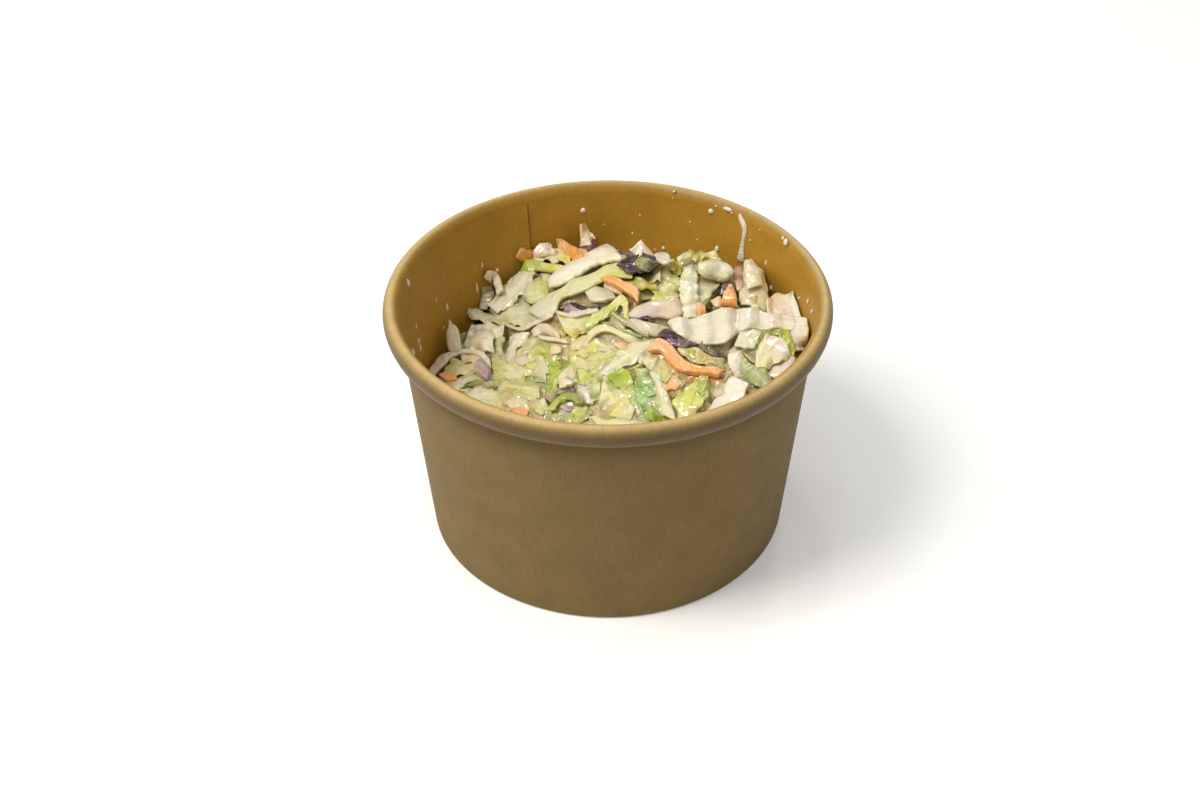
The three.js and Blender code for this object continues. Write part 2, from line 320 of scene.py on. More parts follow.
class Pile:
    """Shreds laid one on another, each a middle line with the frame and the shape that bend a blank."""

    def __init__(self, seed, sink):
        self.random = np.random.default_rng(seed)
        self.heights = Heights(sink)
        self.shreds = []
        self.level = None

    def lay(self, kind, plan, width, thick, tints, blank, bounds, edges=None, **shape):
        """Lays a shred along a plan of points, or between two edges, within bounds over the smooth heap."""
        shape = {**PLAIN, **shape}
        plan = plan[:, :2]
        run = np.linalg.norm(np.diff(plan, axis=0), axis=1).sum()
        step = run / (STATIONS - 1)
        stiff = KINDS[kind]["stiff"] / max(step, 0.1)
        tangent = unit(np.gradient(plan, axis=0))
        side = np.stack([-tangent[:, 1], tangent[:, 0]], axis=1)
        reach = side * width / 2 if edges is None else (edges[1][0] - edges[0][0])[:, :2] / 2

        # It rests on the highest of what is under it, as far as it is stiff, and sinks in a little.
        across = np.linspace(-1, 1, 7)
        feet = plan[:, None] + reach[:, None] * across[None, :, None]
        under = read_grid(self.heights.z, feet[..., 0], feet[..., 1])
        rest = (1 - HUG) * under.max(axis=1) + HUG * under.mean(axis=1)
        heap = smooth_heap(*plan.T)
        base = soften(np.clip(soften(rest - heap, stiff * 0.7), *bounds), 2) + thick / 2
        if shape["wave"]:
            along, phase = np.arange(STATIONS) * step, self.random.uniform(0, 6.28)
            base = base + shape["wave"] * np.sin(2 * math.pi * along / shape["pitch"] + phase)

        if edges is None:
            tilt = soften((under * across).sum(axis=1) / (across**2).sum(), stiff * 0.6)
            tilt = np.clip(tilt, -MOST_TILT * width, MOST_TILT * width)
            centre = np.column_stack([plan, heap + base])
            level = np.column_stack([side * width / 2, tilt])
            widths = np.full(STATIONS, float(width))
        else:
            # Its two edges keep to their lines of sight, however high it comes to lie.
            first, last = [points + lines * (base / lines[:, 2])[:, None] for points, lines in edges]
            centre, level = (first + last) / 2, (last - first) / 2
            widths = np.maximum(2 * np.linalg.norm(level, axis=1), 0.3)

        level = unit(level)
        normal = unit(np.cross(unit(np.gradient(centre, axis=0)), level))
        if normal[:, 2].mean() < 0:
            level, normal = -level, -normal
        turn = np.radians(shape["roll"] + shape["twist"] * np.linspace(-0.5, 0.5, STATIONS))[:, None]
        side = level * np.cos(turn) + normal * np.sin(turn)
        normal = normal * np.cos(turn) - level * np.sin(turn)
        shred = dict(shape, kind=kind, centre=centre, side=side, normal=normal, width=widths, thick=thick,
                     tints=tints, blank=blank, length=run, seed=int(self.random.integers(1 << 30)))
        self.shreds.append(shred)
        self.cover_with(shred)

    def cover_with(self, shred):
        """Raises the heights to a shred's upper face."""
        fine = np.linspace(-1, 1, max(5, int(shred["width"].max() / 0.3)))
        at = np.linspace(0, STATIONS - 1, max(STATIONS, int(shred["length"] / 0.25)))
        half = read_rows(shred["width"][:, None], at) / 2
        rise = shred["thick"] / 2 + shred["crown"] * half * (1 - fine**2)
        centre, side, normal = (read_rows(shred[key], at)[:, None] for key in ("centre", "side", "normal"))
        top = centre + side * (fine * half)[..., None] + normal * rise[..., None]
        start, end = (np.array(srgb(TINTS[name])) for name in shred["tints"])
        share = (at / (STATIONS - 1))[:, None, None]
        self.heights.cover(top, (start * (1 - share) + end * share) * np.ones((1, len(fine), 1)))

    def lay_between(self, kind, thick, tints, lifts, first, last, bounds, **shape):
        """Lays a shred whose two edges run through spots (u, v) of the camera's view."""
        edges = []
        for spots, lift in ((first, lifts[0]), (last, lifts[1])):
            spots = smooth_path(spots, STATIONS)
            start, end = lift if isinstance(lift, tuple) else (lift, lift)
            rises = np.linspace(start, end, STATIONS)
            points = np.array([spot_on_heap(u, v, rise) for (u, v), rise in zip(spots, rises)])
            edges.append((points, np.array([sight_line(u, v) for u, v in spots])))
        middle = (edges[0][0] + edges[1][0]) / 2
        blank = "broad" if kind == "leaf" else "fine"
        self.lay(kind, middle, None, thick, tints, blank, bounds, edges, **shape)

    def scatter(self, mix, count, lengths, widths, thicks, blank, bounds):
        """Lays shreds at random places and headings all over the pile."""
        kinds = list(mix)
        shares = np.array([mix[kind][0] for kind in kinds], float)
        for _ in range(count):
            kind = kinds[self.random.choice(len(kinds), p=shares / shares.sum())]
            tints = mix[kind][1]
            away = SCATTER_REACH * math.sqrt(self.random.uniform())
            around, heading = self.random.uniform(0, 2 * math.pi, 2)
            middle = np.array((away * math.cos(around), away * math.sin(around)))
            length = self.random.uniform(*lengths) * (0.7 if kind == "carrot" else 1.0)
            width, thick = self.random.uniform(*widths), self.random.uniform(*thicks)
            if kind in NARROW_CUTS:
                width, thick = [self.random.uniform(*limits) for limits in NARROW_CUTS[kind]]
            plan = curved_plan(middle, heading, length, self.random.normal(0, 0.9) / length)
            pair = tuple(tints[k] for k in self.random.integers(0, len(tints), 2))
            # Behind the crest the pile falls away.
            drop = 2.2 * np.clip((plan[:, 1] - 5) / 15, 0, 1) + 2.5 * np.clip((plan[:, 1] - 24) / 10, 0, 1)
            self.lay(
                kind, plan, width, thick, pair, blank, (bounds[0] - drop, bounds[1] - drop),
                crown=self.random.normal(0, 0.16),
                roll=self.random.normal(0, 9),
                wave=self.random.uniform(0, 0.5),
                twist=self.random.normal(0, 20),
                taper=tuple(self.random.uniform(0.45, 0.95, 2)),
            )


# The shreds that show on top, from the lowest to the uppermost. Each has its kind, its thickness in mm, the
# tints of its two ends, how many mm its two edges are lifted over the heap (as a pair where the two ends of
# an edge differ), the spots of the view that its two edges run through, and what its shape has other than
# PLAIN.
TOP_SHREDS = [
    # far side, left of the crest
    ("rib", 1.0, "grey", "lilac", (0, 0.5),
     [(482, 288), (481, 298), (479, 310)], [(490, 285), (494, 295), (487, 309)]),
    ("rib", 1.0, "pink", "peach", (1, 0.5),
     [(507, 283), (513, 277), (518, 279)], [(508, 286), (513, 284), (517, 283)]),
    ("leaf", 0.6, "ivory", "ice", (0.2, 0.2),
     [(500, 300), (520, 278), (545, 266)], [(508, 318), (534, 300), (560, 284)]),
    ("leaf", 0.7, "ice", "sage", (0.9, 1),
     [(467, 309), (482, 311), (500, 319), (516, 323)], [(466, 314), (476, 321), (495, 323.5), (514, 328)]),
    ("leaf", 0.7, "ivory", "ice", (0.3, 0.7),
     [(490, 308), (505, 303), (522, 299), (532, 303)], [(495, 320), (512, 325), (524, 328), (538, 321)]),
    ("leaf", 0.6, "ice", "pale", (0.6, 0.8),
     [(523, 280), (536, 276), (550, 280)], [(522, 298), (534, 304), (550, 292)], dict(crown=0.1)),
    ("leaf", 0.7, "white", "white", (0.9, 0.9),
     [(487, 304), (497, 292), (509, 282), (519, 272), (525, 267)],
     [(497, 315), (511, 306), (522, 298), (530, 287), (536, 274)], dict(crown=0.15)),
    ("rib", 1.2, "lilac", "white", (4.5, 3.5),
     [(485, 277), (489, 270.5), (497, 273), (501, 281), (503, 291)],
     [(489, 284), (492, 279.5), (493.5, 282), (495.5, 287), (497, 294)]),
    ("leaf", 0.8, "ivory", "pale", (0.2, 0.5),
     [(540, 273), (549, 269), (560, 269), (570, 266)], [(543, 281), (551, 282), (560, 279), (569, 273)]),
    ("rib", 1.0, "mustard", "taupe", (0.2, 0.3),
     [(525, 271), (531, 271), (537, 271)], [(527, 279), (531, 279), (537, 275)]),
    ("rib", 1.1, "green", "pale", (1.6, 1.2),
     [(522, 267), (526, 261), (534, 259.5), (546, 263), (562, 266)],
     [(523, 271), (529, 272.5), (537, 270.5), (549, 272), (564, 271)], dict(crown=0.2)),
    ("rib", 2.0, "pink", "white", (4, 2.5),
     [(534, 252), (539, 244), (547, 243), (554, 249)], [(535, 259), (541, 258), (549, 256), (556, 256)],
     dict(crown=0.1)),
    ("leaf", 0.9, "ivory", "yellow", (2.2, 1.4),
     [(533, 260), (541, 254), (551, 250.5), (563, 250.5), (572, 255)],
     [(540, 265), (547, 260.5), (556, 262), (563, 263), (571, 267)], dict(crown=0.15)),
    ("rib", 1.4, "pink", "white", (1.8, 1.6),
     [(549, 259), (553, 256.5), (558, 258)], [(550, 263), (554, 263.5), (558, 262)]),
    ("carrot", 1.8, "carrot", "carrot", (3, 1.8),
     [(515.5, 256), (520, 248.5), (528, 250), (536, 252)],
     [(523, 263), (528, 260), (532, 258.5), (536, 257)]),
    ("carrot", 1.6, "coral", "carrot", (4, 2),
     [(557, 239), (563, 239.5), (572, 245), (579, 249), (583, 256)],
     [(556.5, 248), (563, 250.5), (570, 257), (576, 263), (582, 263)]),
    ("carrot", 1.3, "coral", "peach", (2.5, 1.6),
     [(577, 249), (585, 250), (591, 255)], [(578, 263), (585, 262), (591, 259)]),
    ("rib", 1.3, "peach", "pink", ((10, 3.5), (8, 3)),
     [(581, 223), (580.5, 233), (580.5, 246)], [(584, 224), (589.5, 234), (592, 246)]),
    ("rib", 0.7, "peach", "pink", (6, 6), [(589, 233), (592, 238)], [(592, 233), (595.5, 238.5)]),
    ("red", 1.3, "mauve", "wine", (1.8, 1),
     [(579, 246), (584, 241.5), (594, 243), (602, 248)],
     [(581, 250), (589, 253.5), (595, 255), (602, 251)], dict(crown=0.2)),
    ("rib", 2.6, "white", "pink", (5, 2.5),
     [(631.5, 249), (637, 243.5), (642, 241.5), (647, 247)],
     [(632, 257), (638, 259), (645, 259), (652, 256)]),
    ("red", 0.8, "wine", "mauve", (3, 3),
     [(616, 251.5), (626, 252), (636, 255)], [(618, 254), (627, 255), (637, 258)]),
    # the left end
    ("leaf", 1.0, "lilac", "white", (1, 0.4),
     [(467, 331), (475, 325), (485, 322), (504, 326)], [(468, 340), (480, 337), (491, 340), (503, 345)],
     dict(crown=0.1)),
    ("leaf", 0.8, "sage", "grey", (0.3, 0.3),
     [(490, 341), (490, 350), (494, 362)], [(505, 336), (503, 350), (507, 361)]),
    ("rib", 1.2, "ice", "lilac", ((9, 2), (9, 2)),
     [(450, 321.5), (446.5, 333), (447.5, 346), (450, 353)],
     [(450.8, 321.5), (458, 329), (460.5, 341), (462, 352)]),
    ("leaf", 0.9, "ice", "white", (1, 1),
     [(465, 344), (471, 336), (480, 330.5), (491, 331), (495, 338)],
     [(466, 352), (476, 353), (486, 353), (494, 352)], dict(crown=0.25)),
    ("leaf", 0.8, "cream", "ivory", (0.2, 0.4),
     [(445, 368), (458, 362), (470, 360), (486, 361)], [(447, 378), (459, 377), (470, 375), (484, 372)]),
    ("leaf", 0.8, "pink", "peach", (0.5, 0.5),
     [(462, 354), (472, 351), (486, 353)], [(461, 364), (474, 363), (484, 361)]),
    ("leaf", 0.6, "lime", "pale", (0.4, 0.4),
     [(448, 363), (456, 359.5), (464, 361)], [(449, 369), (457, 368), (465, 367)]),
    ("rib", 1.2, "lilac", "white", (1.2, 0.8),
     [(429, 372), (437, 359.5), (450, 352), (465, 349.5), (480, 351.5), (489, 358), (491, 368)],
     [(434, 376), (442, 368), (452, 358), (464, 354), (477, 355.5), (484, 361), (487, 370)]),
    ("carrot", 1.4, "coral", "carrot", (0.8, 0.8),
     [(440, 375), (448, 372.5), (457, 376)], [(443, 380), (449, 381.5), (457, 380)]),
    ("leaf", 0.7, "sage", "ice", (0.3, 0.6),
     [(444, 381), (455, 381.5), (464, 379)], [(447, 387), (455, 390), (462, 386)]),
    ("rib", 0.9, "ice", "grey", (0.6, 0.9),
     [(459, 383), (468, 377), (476, 375.5), (485, 380), (494, 383)],
     [(461, 387), (470, 381.5), (477, 380.5), (485, 385), (493, 387)]),
    ("green", 0.8, "olive", "moss", (0.6, 0.6),
     [(466, 382), (478, 381.5), (489, 384), (498, 387)],
     [(466, 386), (477, 386.5), (487, 389), (497, 390)]),
    ("red", 1.6, "lilac", "mauve", (1.4, 1.2),
     [(474, 367), (479, 361.5), (486, 363), (491, 370)],
     [(476, 373), (481, 377.5), (486, 380), (490, 380)], dict(crown=0.2)),
    # between the left end and the middle
    ("leaf", 0.8, "cream", "sage", (0.1, 0.4),
     [(514, 352), (524, 342), (535, 335), (548, 331)], [(518, 364), (530, 352), (541, 345), (553, 342)]),
    ("leaf", 0.9, "white", "lilac", (0.5, 0.4),
     [(511, 336), (507, 350), (504.5, 360)], [(531, 334), (520, 348), (512, 366)], dict(crown=0.25)),
    ("rib", 1.1, "pink", "lilac", (0.5, 0.6),
     [(516, 358), (523, 353.5), (529, 356)], [(515, 365), (523, 366), (529, 362)]),
    ("rib", 1.1, "lilac", "pink", (0.9, 0.6),
     [(532, 331), (540, 324.5), (550, 325), (560, 333)], [(534, 338), (543, 334), (552, 337), (562, 342)],
     dict(crown=0.25)),
    ("rib", 0.9, "white", "pink", (0.9, 0.9),
     [(538, 335.5), (552, 337.5), (568, 339.5)], [(539, 339), (553, 341.5), (568, 344)]),
    ("leaf", 0.8, "cream", "cream", (0.3, 0.3),
     [(562, 342), (563, 355), (567, 366)], [(577, 339), (578, 352), (576, 364)]),
    ("leaf", 0.7, "pear", "lime", (0.3, 0.5),
     [(529, 349), (538, 343), (550, 343.5), (562, 346)], [(528, 358), (540, 356), (552, 361), (562, 359)],
     dict(crumple=1.3)),
    ("rib", 0.8, "peach", "cream", (0.8, 0.8),
     [(550, 348), (555, 345.5), (561, 348)], [(551, 354), (556, 354), (561, 352)]),
    ("leaf", 0.7, "green", "lime", (0.4, 0.6),
     [(534, 358), (545, 355), (558, 357)], [(535, 367), (547, 367.5), (559, 367)], dict(crumple=1.3)),
    ("leaf", 0.8, "lime", "lime", (0.4, 0.4),
     [(543, 365), (543, 377), (546, 389)], [(562, 363), (561, 375), (556, 388)], dict(crumple=1.3)),
    ("green", 0.8, "olive", "green", (0.8, 0.8),
     [(560, 362), (565, 358.5), (571, 366)], [(561, 369), (566, 371), (570, 370)]),
    # the near left, thick with dressing
    ("leaf", 0.8, "pear", "ivory", (0.1, 0.2),
     [(492, 359), (505, 357), (515, 363), (528, 366)], [(494, 380), (508, 381), (520, 383), (532, 382)],
     dict(crown=0.1)),
    ("leaf", 0.8, "yellow", "ivory", (0.2, 0.3),
     [(525, 360), (535, 356.5), (546, 357)], [(527, 371), (537, 372), (547, 373)]),
    ("leaf", 0.7, "cream", "ivory", (0.1, 0.4),
     [(524, 369), (535, 368), (546, 369)], [(525, 379), (536, 379), (546, 380)]),
    ("green", 0.6, "olive", "sage", (0.4, 0.4),
     [(527, 378), (535, 377), (546, 378)], [(528, 383), (536, 383), (546, 383)]),
    ("leaf", 0.9, "pear", "pear", (0.1, 0.4),
     [(494, 385), (508, 381.5), (521, 383), (537, 385)], [(502, 400), (515, 397), (528, 399), (543, 399)],
     dict(crown=0.15)),
    ("leaf", 0.9, "white", "pear", (0.2, 0.6),
     [(466, 393), (480, 388), (495, 387.5), (507, 390)], [(470, 401), (484, 406), (498, 407), (510, 404)],
     dict(crown=0.15)),
    ("leaf", 0.8, "cream", "yellow", (0.1, 0.4),
     [(477, 403), (494, 404), (506, 404), (512, 409)], [(484, 410), (500, 414), (512, 418), (518, 418)]),
    ("rib", 1.4, "pink", "cream", (0.5, 0.7),
     [(506, 403), (514, 398.5), (522, 398.5), (528, 404)],
     [(507, 409), (513, 410.5), (521, 410), (528, 410)], dict(crown=0.2)),
    ("carrot", 1.2, "carrot", "carrot", (1.0, 1.0),
     [(512, 410), (518, 407), (524, 407.5), (528, 411)], [(512, 417), (518, 419), (524, 419), (528, 416)]),
    ("leaf", 0.8, "pear", "ivory", (0.3, 0.4),
     [(530, 402), (538, 398), (546, 400)], [(532, 411), (540, 413), (549, 410)]),
    ("green", 0.9, "green", "taupe", (0.5, 0.5),
     [(556, 377), (549, 387), (544, 399)], [(561, 383), (557, 393), (553, 403)]),
    ("leaf", 0.9, "ivory", "white", (0.6, 0.7),
     [(558, 377), (564, 370), (573, 369), (578, 374)], [(558, 383), (565, 381), (573, 381), (578, 381)],
     dict(crown=0.15)),
    ("rib", 1.3, "peach", "white", (0.7, 0.9),
     [(557, 381), (562, 379), (568, 380), (573, 383)], [(561, 388), (565, 387.5), (569, 386), (573, 386)]),
    # These two dark leaves lie down in drained gaps of the dressing and stand for their shade: painted shade.
    ("leaf", 0.8, "moss", "wine", (0.2, 0.2),
     [(550, 397), (560, 386), (577, 384)], [(554, 405), (566, 402), (580, 402)]),
    ("leaf", 0.8, "moss", "olive", (0.6, 0.6), [(581, 404), (590, 404)], [(582, 414), (592, 414)]),
    ("leaf", 0.8, "grey", "sage", (0.2, 0.3),
     [(547, 412), (558, 410), (567, 412)], [(547, 421), (558, 424), (567, 425)]),
    ("rib", 1.4, "lilac", "white", (0.5, 0.6),
     [(576, 384), (579, 395), (583, 405)], [(590, 385), (593, 396), (594, 405)], dict(crown=0.15)),
    ("red", 1.2, "lilac", "mauve", (0.5, 0.7),
     [(560, 406), (568, 402.5), (578, 403)], [(562, 411), (570, 413), (578, 410)]),
    ("leaf", 0.8, "lime", "pear", (0.4, 0.6),
     [(575, 404), (584, 405), (590, 411)], [(571, 416), (577, 422.5), (590, 419)]),
    ("green", 1.0, "lime", "olive", (1, 1.2),
     [(549, 412), (552, 402), (562, 394.5), (572, 392.5), (580, 395), (584, 403)],
     [(556, 410), (560, 403.5), (567, 401), (574, 401.5), (580, 404), (582, 405)], dict(crown=0.15)),
    # the middle
    ("leaf", 0.7, "taupe", "grey", (-0.6, -0.4),
     [(556, 304), (566, 295), (578, 291), (588, 293)], [(556, 312), (570, 308), (580, 308), (592, 309)]),
    ("red", 1.0, "mauve", "lilac", (0.2, 0.3),
     [(564, 306), (568, 302.5), (573, 306), (583, 308)], [(565, 314), (571, 316), (577, 313), (584, 312)]),
    ("red", 0.8, "wine", "wine", (0.2, 0.2),
     [(569, 302), (580, 305.5), (590, 306.5), (600, 306)],
     [(572, 305), (582, 310), (590, 311.5), (599, 310)]),
    ("rib", 1.4, "ice", "grey", (0.6, 0.9),
     [(585, 291), (592, 288.5), (600, 287), (615, 292)], [(586, 297), (592, 302), (602, 302), (614, 299)],
     dict(crown=0.15)),
    ("leaf", 0.8, "taupe", "mustard", (0.1, 0.2),
     [(550, 316), (550, 326), (560, 337)], [(556, 313), (563, 325), (568, 338)]),
    ("leaf", 0.9, "ivory", "lime", (0.3, 0.8),
     [(556, 313), (568, 315), (583, 310), (602, 312)], [(565, 333), (575, 337), (586, 334), (602, 323)],
     dict(crumple=1.2)),
    ("leaf", 0.6, "yellow", "mustard", (0.9, 1.1),
     [(563, 328), (572, 329), (581, 331)], [(565, 334), (573, 337), (581, 335)]),
    ("rib", 0.8, "pink", "lilac", (0.8, 0.8),
     [(556, 311), (570, 313), (585, 310.5), (599, 308.5)],
     [(557, 315), (572, 317.5), (586, 314.5), (599, 312)]),
    ("leaf", 0.7, "cream", "ivory", (0.2, 0.3),
     [(570, 338), (585, 334), (600, 342), (620, 346)], [(572, 352), (588, 350), (602, 352), (622, 354)]),
    ("leaf", 0.9, "pear", "pear", (0.2, 0.5),
     [(568, 352), (588, 351), (602, 350), (620, 350)], [(573, 372), (590, 373), (604, 371), (616, 364)],
     dict(crown=0.08)),
    ("leaf", 0.7, "cream", "yellow", (0.5, 0.5),
     [(576, 353), (584, 343.5), (593, 342), (600, 345)],
     [(577, 358), (586, 357.5), (594, 354), (600, 351)]),
    ("carrot", 0.9, "peach", "coral", (0.6, 0.6),
     [(615, 344), (625, 341.5), (638, 344)], [(618, 349), (627, 351), (637, 348)]),
    ("rib", 1.0, "cream", "ivory", (0.8, 0.9),
     [(586, 335), (598, 325.5), (612, 327), (630, 335), (649, 341)],
     [(589, 342), (600, 333), (612, 333), (626, 341), (641, 348)]),
    ("leaf", 0.8, "ivory", "ice", (0.7, 1.2),
     [(652, 335), (635, 343), (618, 351), (604, 363), (598, 373)],
     [(660, 341), (649, 354), (637, 361), (621, 368), (609, 379)], dict(crown=0.05)),
    ("leaf", 0.8, "pale", "sage", (0.5, 0.5),
     [(591, 371), (589, 386), (590, 402)], [(603, 366), (601, 383), (601, 401)], dict(crumple=1.3)),
    ("leaf", 0.9, "pale", "lime", (0.9, 0.7),
     [(576, 376), (583, 368), (591, 374)], [(577, 381), (583, 386), (591, 382)], dict(crown=0.15)),
    ("green", 0.6, "olive", "sage", (1.3, 1.3),
     [(579, 368), (575.3, 376), (578, 383.5), (586, 386)],
     [(581, 370.5), (578.2, 377), (581, 382), (586, 383.5)]),
    ("green", 0.5, "sage", "olive", (1.3, 1.3),
     [(583, 371), (581, 376), (583, 381)], [(585, 371), (583, 376), (585, 381)]),
    # far side, right of the crest
    ("leaf", 0.7, "cream", "ivory", (0.2, 0.4),
     [(636, 290), (650, 287), (665, 287), (682, 291)], [(634, 302), (650, 301), (664, 300), (682, 299)]),
    ("leaf", 0.8, "ivory", "pale", (1.3, 1),
     [(655, 265), (650, 278), (652, 290), (651, 302)], [(673, 260), (677, 272), (680, 285), (682, 299)],
     dict(crown=0.08, crumple=1.2)),
    ("leaf", 0.6, "mustard", "yellow", (1.7, 1.4),
     [(670, 262), (677, 260.5), (683, 262)], [(671, 271), (677, 274), (682, 273)]),
    ("leaf", 0.8, "pale", "ivory", (1.3, 1.4),
     [(612, 266), (630, 269), (645, 269), (660, 261)], [(616, 279), (633, 281), (650, 284), (661, 282)]),
    ("leaf", 0.6, "lime", "mustard", (1.2, 1.1),
     [(624, 279), (636, 278.5), (648, 281), (657, 286)], [(629, 285), (640, 289), (650, 290), (658, 289)]),
    ("rib", 1.8, "white", "white", (2.2, 2),
     [(545.5, 281), (562, 269), (578, 260), (595, 250.5), (606, 246), (614, 248.5), (622, 258)],
     [(552, 287), (567, 283), (582, 273.5), (592, 267), (604, 263), (614, 262), (623, 262)],
     dict(crown=0.12)),
    ("rib", 1.2, "ice", "pale", (1.3, 1.4),
     [(528, 311), (544, 297), (562, 289), (571, 281), (584, 277), (598, 271), (607, 265.5),
      (620, 264.5), (634, 268)],
     [(541, 321), (555, 313), (559, 302), (569, 296.5), (580, 292), (590, 288.5), (600, 283),
      (612, 277.5), (632, 278)], dict(crown=0.06)),
    ("rib", 0.8, "pink", "white", (1, 1.1),
     [(504, 323), (521, 327.5), (538, 319), (550, 312)], [(507, 327), (521, 331), (538, 324), (553, 317)]),
    ("red", 0.9, "wine", "wine", (3.3, 3.1),
     [(618, 265), (627, 258), (640, 254), (652, 255.5), (662, 259)],
     [(618.5, 267), (628, 272), (638, 272.5), (650, 269), (664, 262)], dict(crown=-0.3)),
    ("rib", 1.0, "lilac", "white", (3.2, 3.2),
     [(654, 255), (660, 252), (666, 253), (670, 257)], [(657, 260), (661, 264), (667, 264.5), (671, 262)],
     dict(crumple=1.5)),
    ("green", 1.8, "olive", "moss", (3.6, 3.6),
     [(635, 264), (640, 259), (647, 258.5), (654, 263)], [(636, 267), (642, 270), (649, 269), (654, 266)],
     dict(crown=0.25)),
    ("carrot", 1.1, "pink", "peach", (0.9, 0.9),
     [(604, 285), (614, 287), (623, 292)], [(604, 288), (615, 293), (622, 296)]),
    ("carrot", 1.8, "carrot", "coral", (1.7, 1.7),
     [(602, 279), (613, 278), (626, 283.5), (636, 288), (641, 294)],
     [(603, 283), (612, 284.5), (622, 290.5), (631, 296.5), (637, 302)], dict(crown=0.1)),
    ("rib", 1.1, "lilac", "pink", (1, 0.9),
     [(628, 316), (638, 306), (655, 300.5), (672, 298.5), (682, 297.5)],
     [(629, 320), (640, 319), (652, 318), (670, 319), (683, 315)], dict(crown=0.12)),
    ("red", 0.7, "wine", "wine", (1, 1),
     [(637, 318.5), (647, 316.5), (653.5, 320), (657, 325)],
     [(639, 320), (647, 319.5), (651, 324), (655, 327)]),
    ("rib", 1.1, "lilac", "grey", (0.7, 0.9),
     [(626, 319), (640, 320), (651, 323.5), (667, 327)], [(632, 328), (645, 334), (656, 336), (670, 334)]),
    ("green", 0.6, "sage", "grey", (0.8, 0.8),
     [(611, 313), (618, 318), (626, 325)], [(603, 321), (613, 326), (625, 331)]),
    ("green", 0.7, "grey", "sage", (1.5, 1.5),
     [(613, 312), (625, 319), (637, 328), (650, 334.5)],
     [(611, 315.5), (622, 323), (634, 331), (648, 337)], dict(crown=0.2)),
    ("green", 0.6, "taupe", "sage", (1.3, 1.3),
     [(599, 321), (612, 323.5), (626, 330), (642, 335.5)],
     [(599, 323.5), (612, 326.5), (626, 333), (641, 338)]),
    ("leaf", 0.9, "lime", "pale", (1.2, 1.6),
     [(584, 321), (600, 311.5), (610, 303.5), (618, 297.5), (625, 297), (629, 305), (629, 318)],
     [(588, 328), (601, 322), (612, 313.5), (617.5, 308.5), (621, 306.5), (623, 309), (623.5, 319)]),
    # the right
    ("leaf", 0.8, "ice", "white", (1.2, 1.3),
     [(695, 275), (694, 295), (695, 317)], [(723, 280), (713, 293), (701, 309)]),
    ("leaf", 0.9, "ice", "white", (2, 1.8),
     [(688, 251), (686, 262), (681, 275), (680, 290), (683, 318)],
     [(692, 249), (697, 262), (697, 276), (698, 290), (700, 318)], dict(crown=0.1)),
    ("leaf", 0.7, "ice", "pale", (3.4, 3.2),
     [(676, 257), (684, 253.5), (690, 248.5)], [(679, 261), (686, 259), (694, 257)]),
    ("leaf", 0.7, "yellow", "ivory", (3.6, 3),
     [(693, 256), (700, 251.5), (708, 251.5), (715, 253.5), (722, 259)],
     [(695, 263), (703, 260), (710, 260), (716, 261.5), (722, 263)], dict(crumple=1.2)),
    ("rib", 2.6, "ice", "white", (2.8, 2.4),
     [(697, 265), (706, 261.5), (716, 262), (727, 266), (733.5, 272)],
     [(699, 270), (707, 276), (717, 279.5), (726, 280.5), (733, 277)], dict(crown=0.2)),
    ("red", 0.9, "wine", "purple", (0.8, 0.8),
     [(720, 285), (730, 281), (738, 286)], [(721, 296), (731, 294), (738, 302)]),
    ("red", 1.0, "rose", "pink", (1.6, 1.2),
     [(735, 267), (734, 278), (737, 292)], [(742, 266), (743, 277), (746, 290)]),
    ("green", 0.8, "olive", "moss", (0.3, 0.2),
     [(704, 300), (711, 296.5), (716, 296)], [(703, 307), (710, 309), (716, 306)]),
    ("rib", 1.2, "peach", "pink", (0.6, 0.7),
     [(712, 300), (717, 297), (722, 297)], [(713, 307), (718, 308), (722, 307)]),
    ("carrot", 2.2, "coral", "carrot", (2.6, 2.6),
     [(728.5, 286.5), (723, 295), (720.5, 305)], [(731, 286.5), (735, 295), (737.5, 306)], dict(crown=0.1)),
    ("carrot", 1.6, "coral", "carrot", (1.2, 1.2),
     [(697, 304), (697.5, 311), (700, 317)], [(700, 303.5), (704.5, 307), (705.5, 313)]),
    ("rib", 1.2, "white", "ivory", (3.4, 2.4),
     [(744, 262), (743, 275), (744, 286), (739, 293), (741, 306)],
     [(750, 259), (762, 271), (766.5, 284), (768, 297), (767, 312)], dict(crown=0.2)),
    ("rib", 1.0, "white", "ivory", (4, 3.4),
     [(747, 262), (745, 274), (747, 288)], [(751, 260), (761, 272), (763, 287)], dict(crown=0.15)),
    ("leaf", 0.6, "mustard", "ivory", (2.9, 2.7),
     [(750, 295), (750, 302), (753, 308)], [(757, 295), (758, 302), (758, 308)]),
    ("rib", 1.3, "pink", "white", (3.2, 1.8),
     [(767, 299), (777, 293.5), (785, 295), (793.5, 290.5)],
     [(767, 322), (778, 328), (790, 328), (802, 320)], dict(crumple=2.2)),
    ("rib", 1.3, "white", "lilac", (1.2, 1),
     [(785, 319), (786, 336), (792, 354)], [(807, 317), (809, 335), (804, 349)], dict(crown=0.12)),
    ("rib", 1.3, "white", "white", (1.8, 2.0),
     [(668, 322), (676, 317.5), (690, 319), (702, 315.5), (712, 312), (722, 307.5), (738, 309),
      (754, 307.5), (766, 313.5), (784, 315), (803, 321)],
     [(672, 333), (682, 337), (694, 343.5), (706, 345), (722, 343.5), (735, 336), (750, 328.5),
      (762, 331), (776, 328.5), (790, 330), (803, 328)], dict(wave=0.55, pitch=6.5, crumple=2.2)),
    # the near right
    ("red", 0.9, "wine", "wine", (0.9, 0.9),
     [(658, 334), (666, 329), (676, 333)], [(660, 338), (668, 338), (677, 338)]),
    ("green", 0.8, "moss", "wine", (0.9, 0.9),
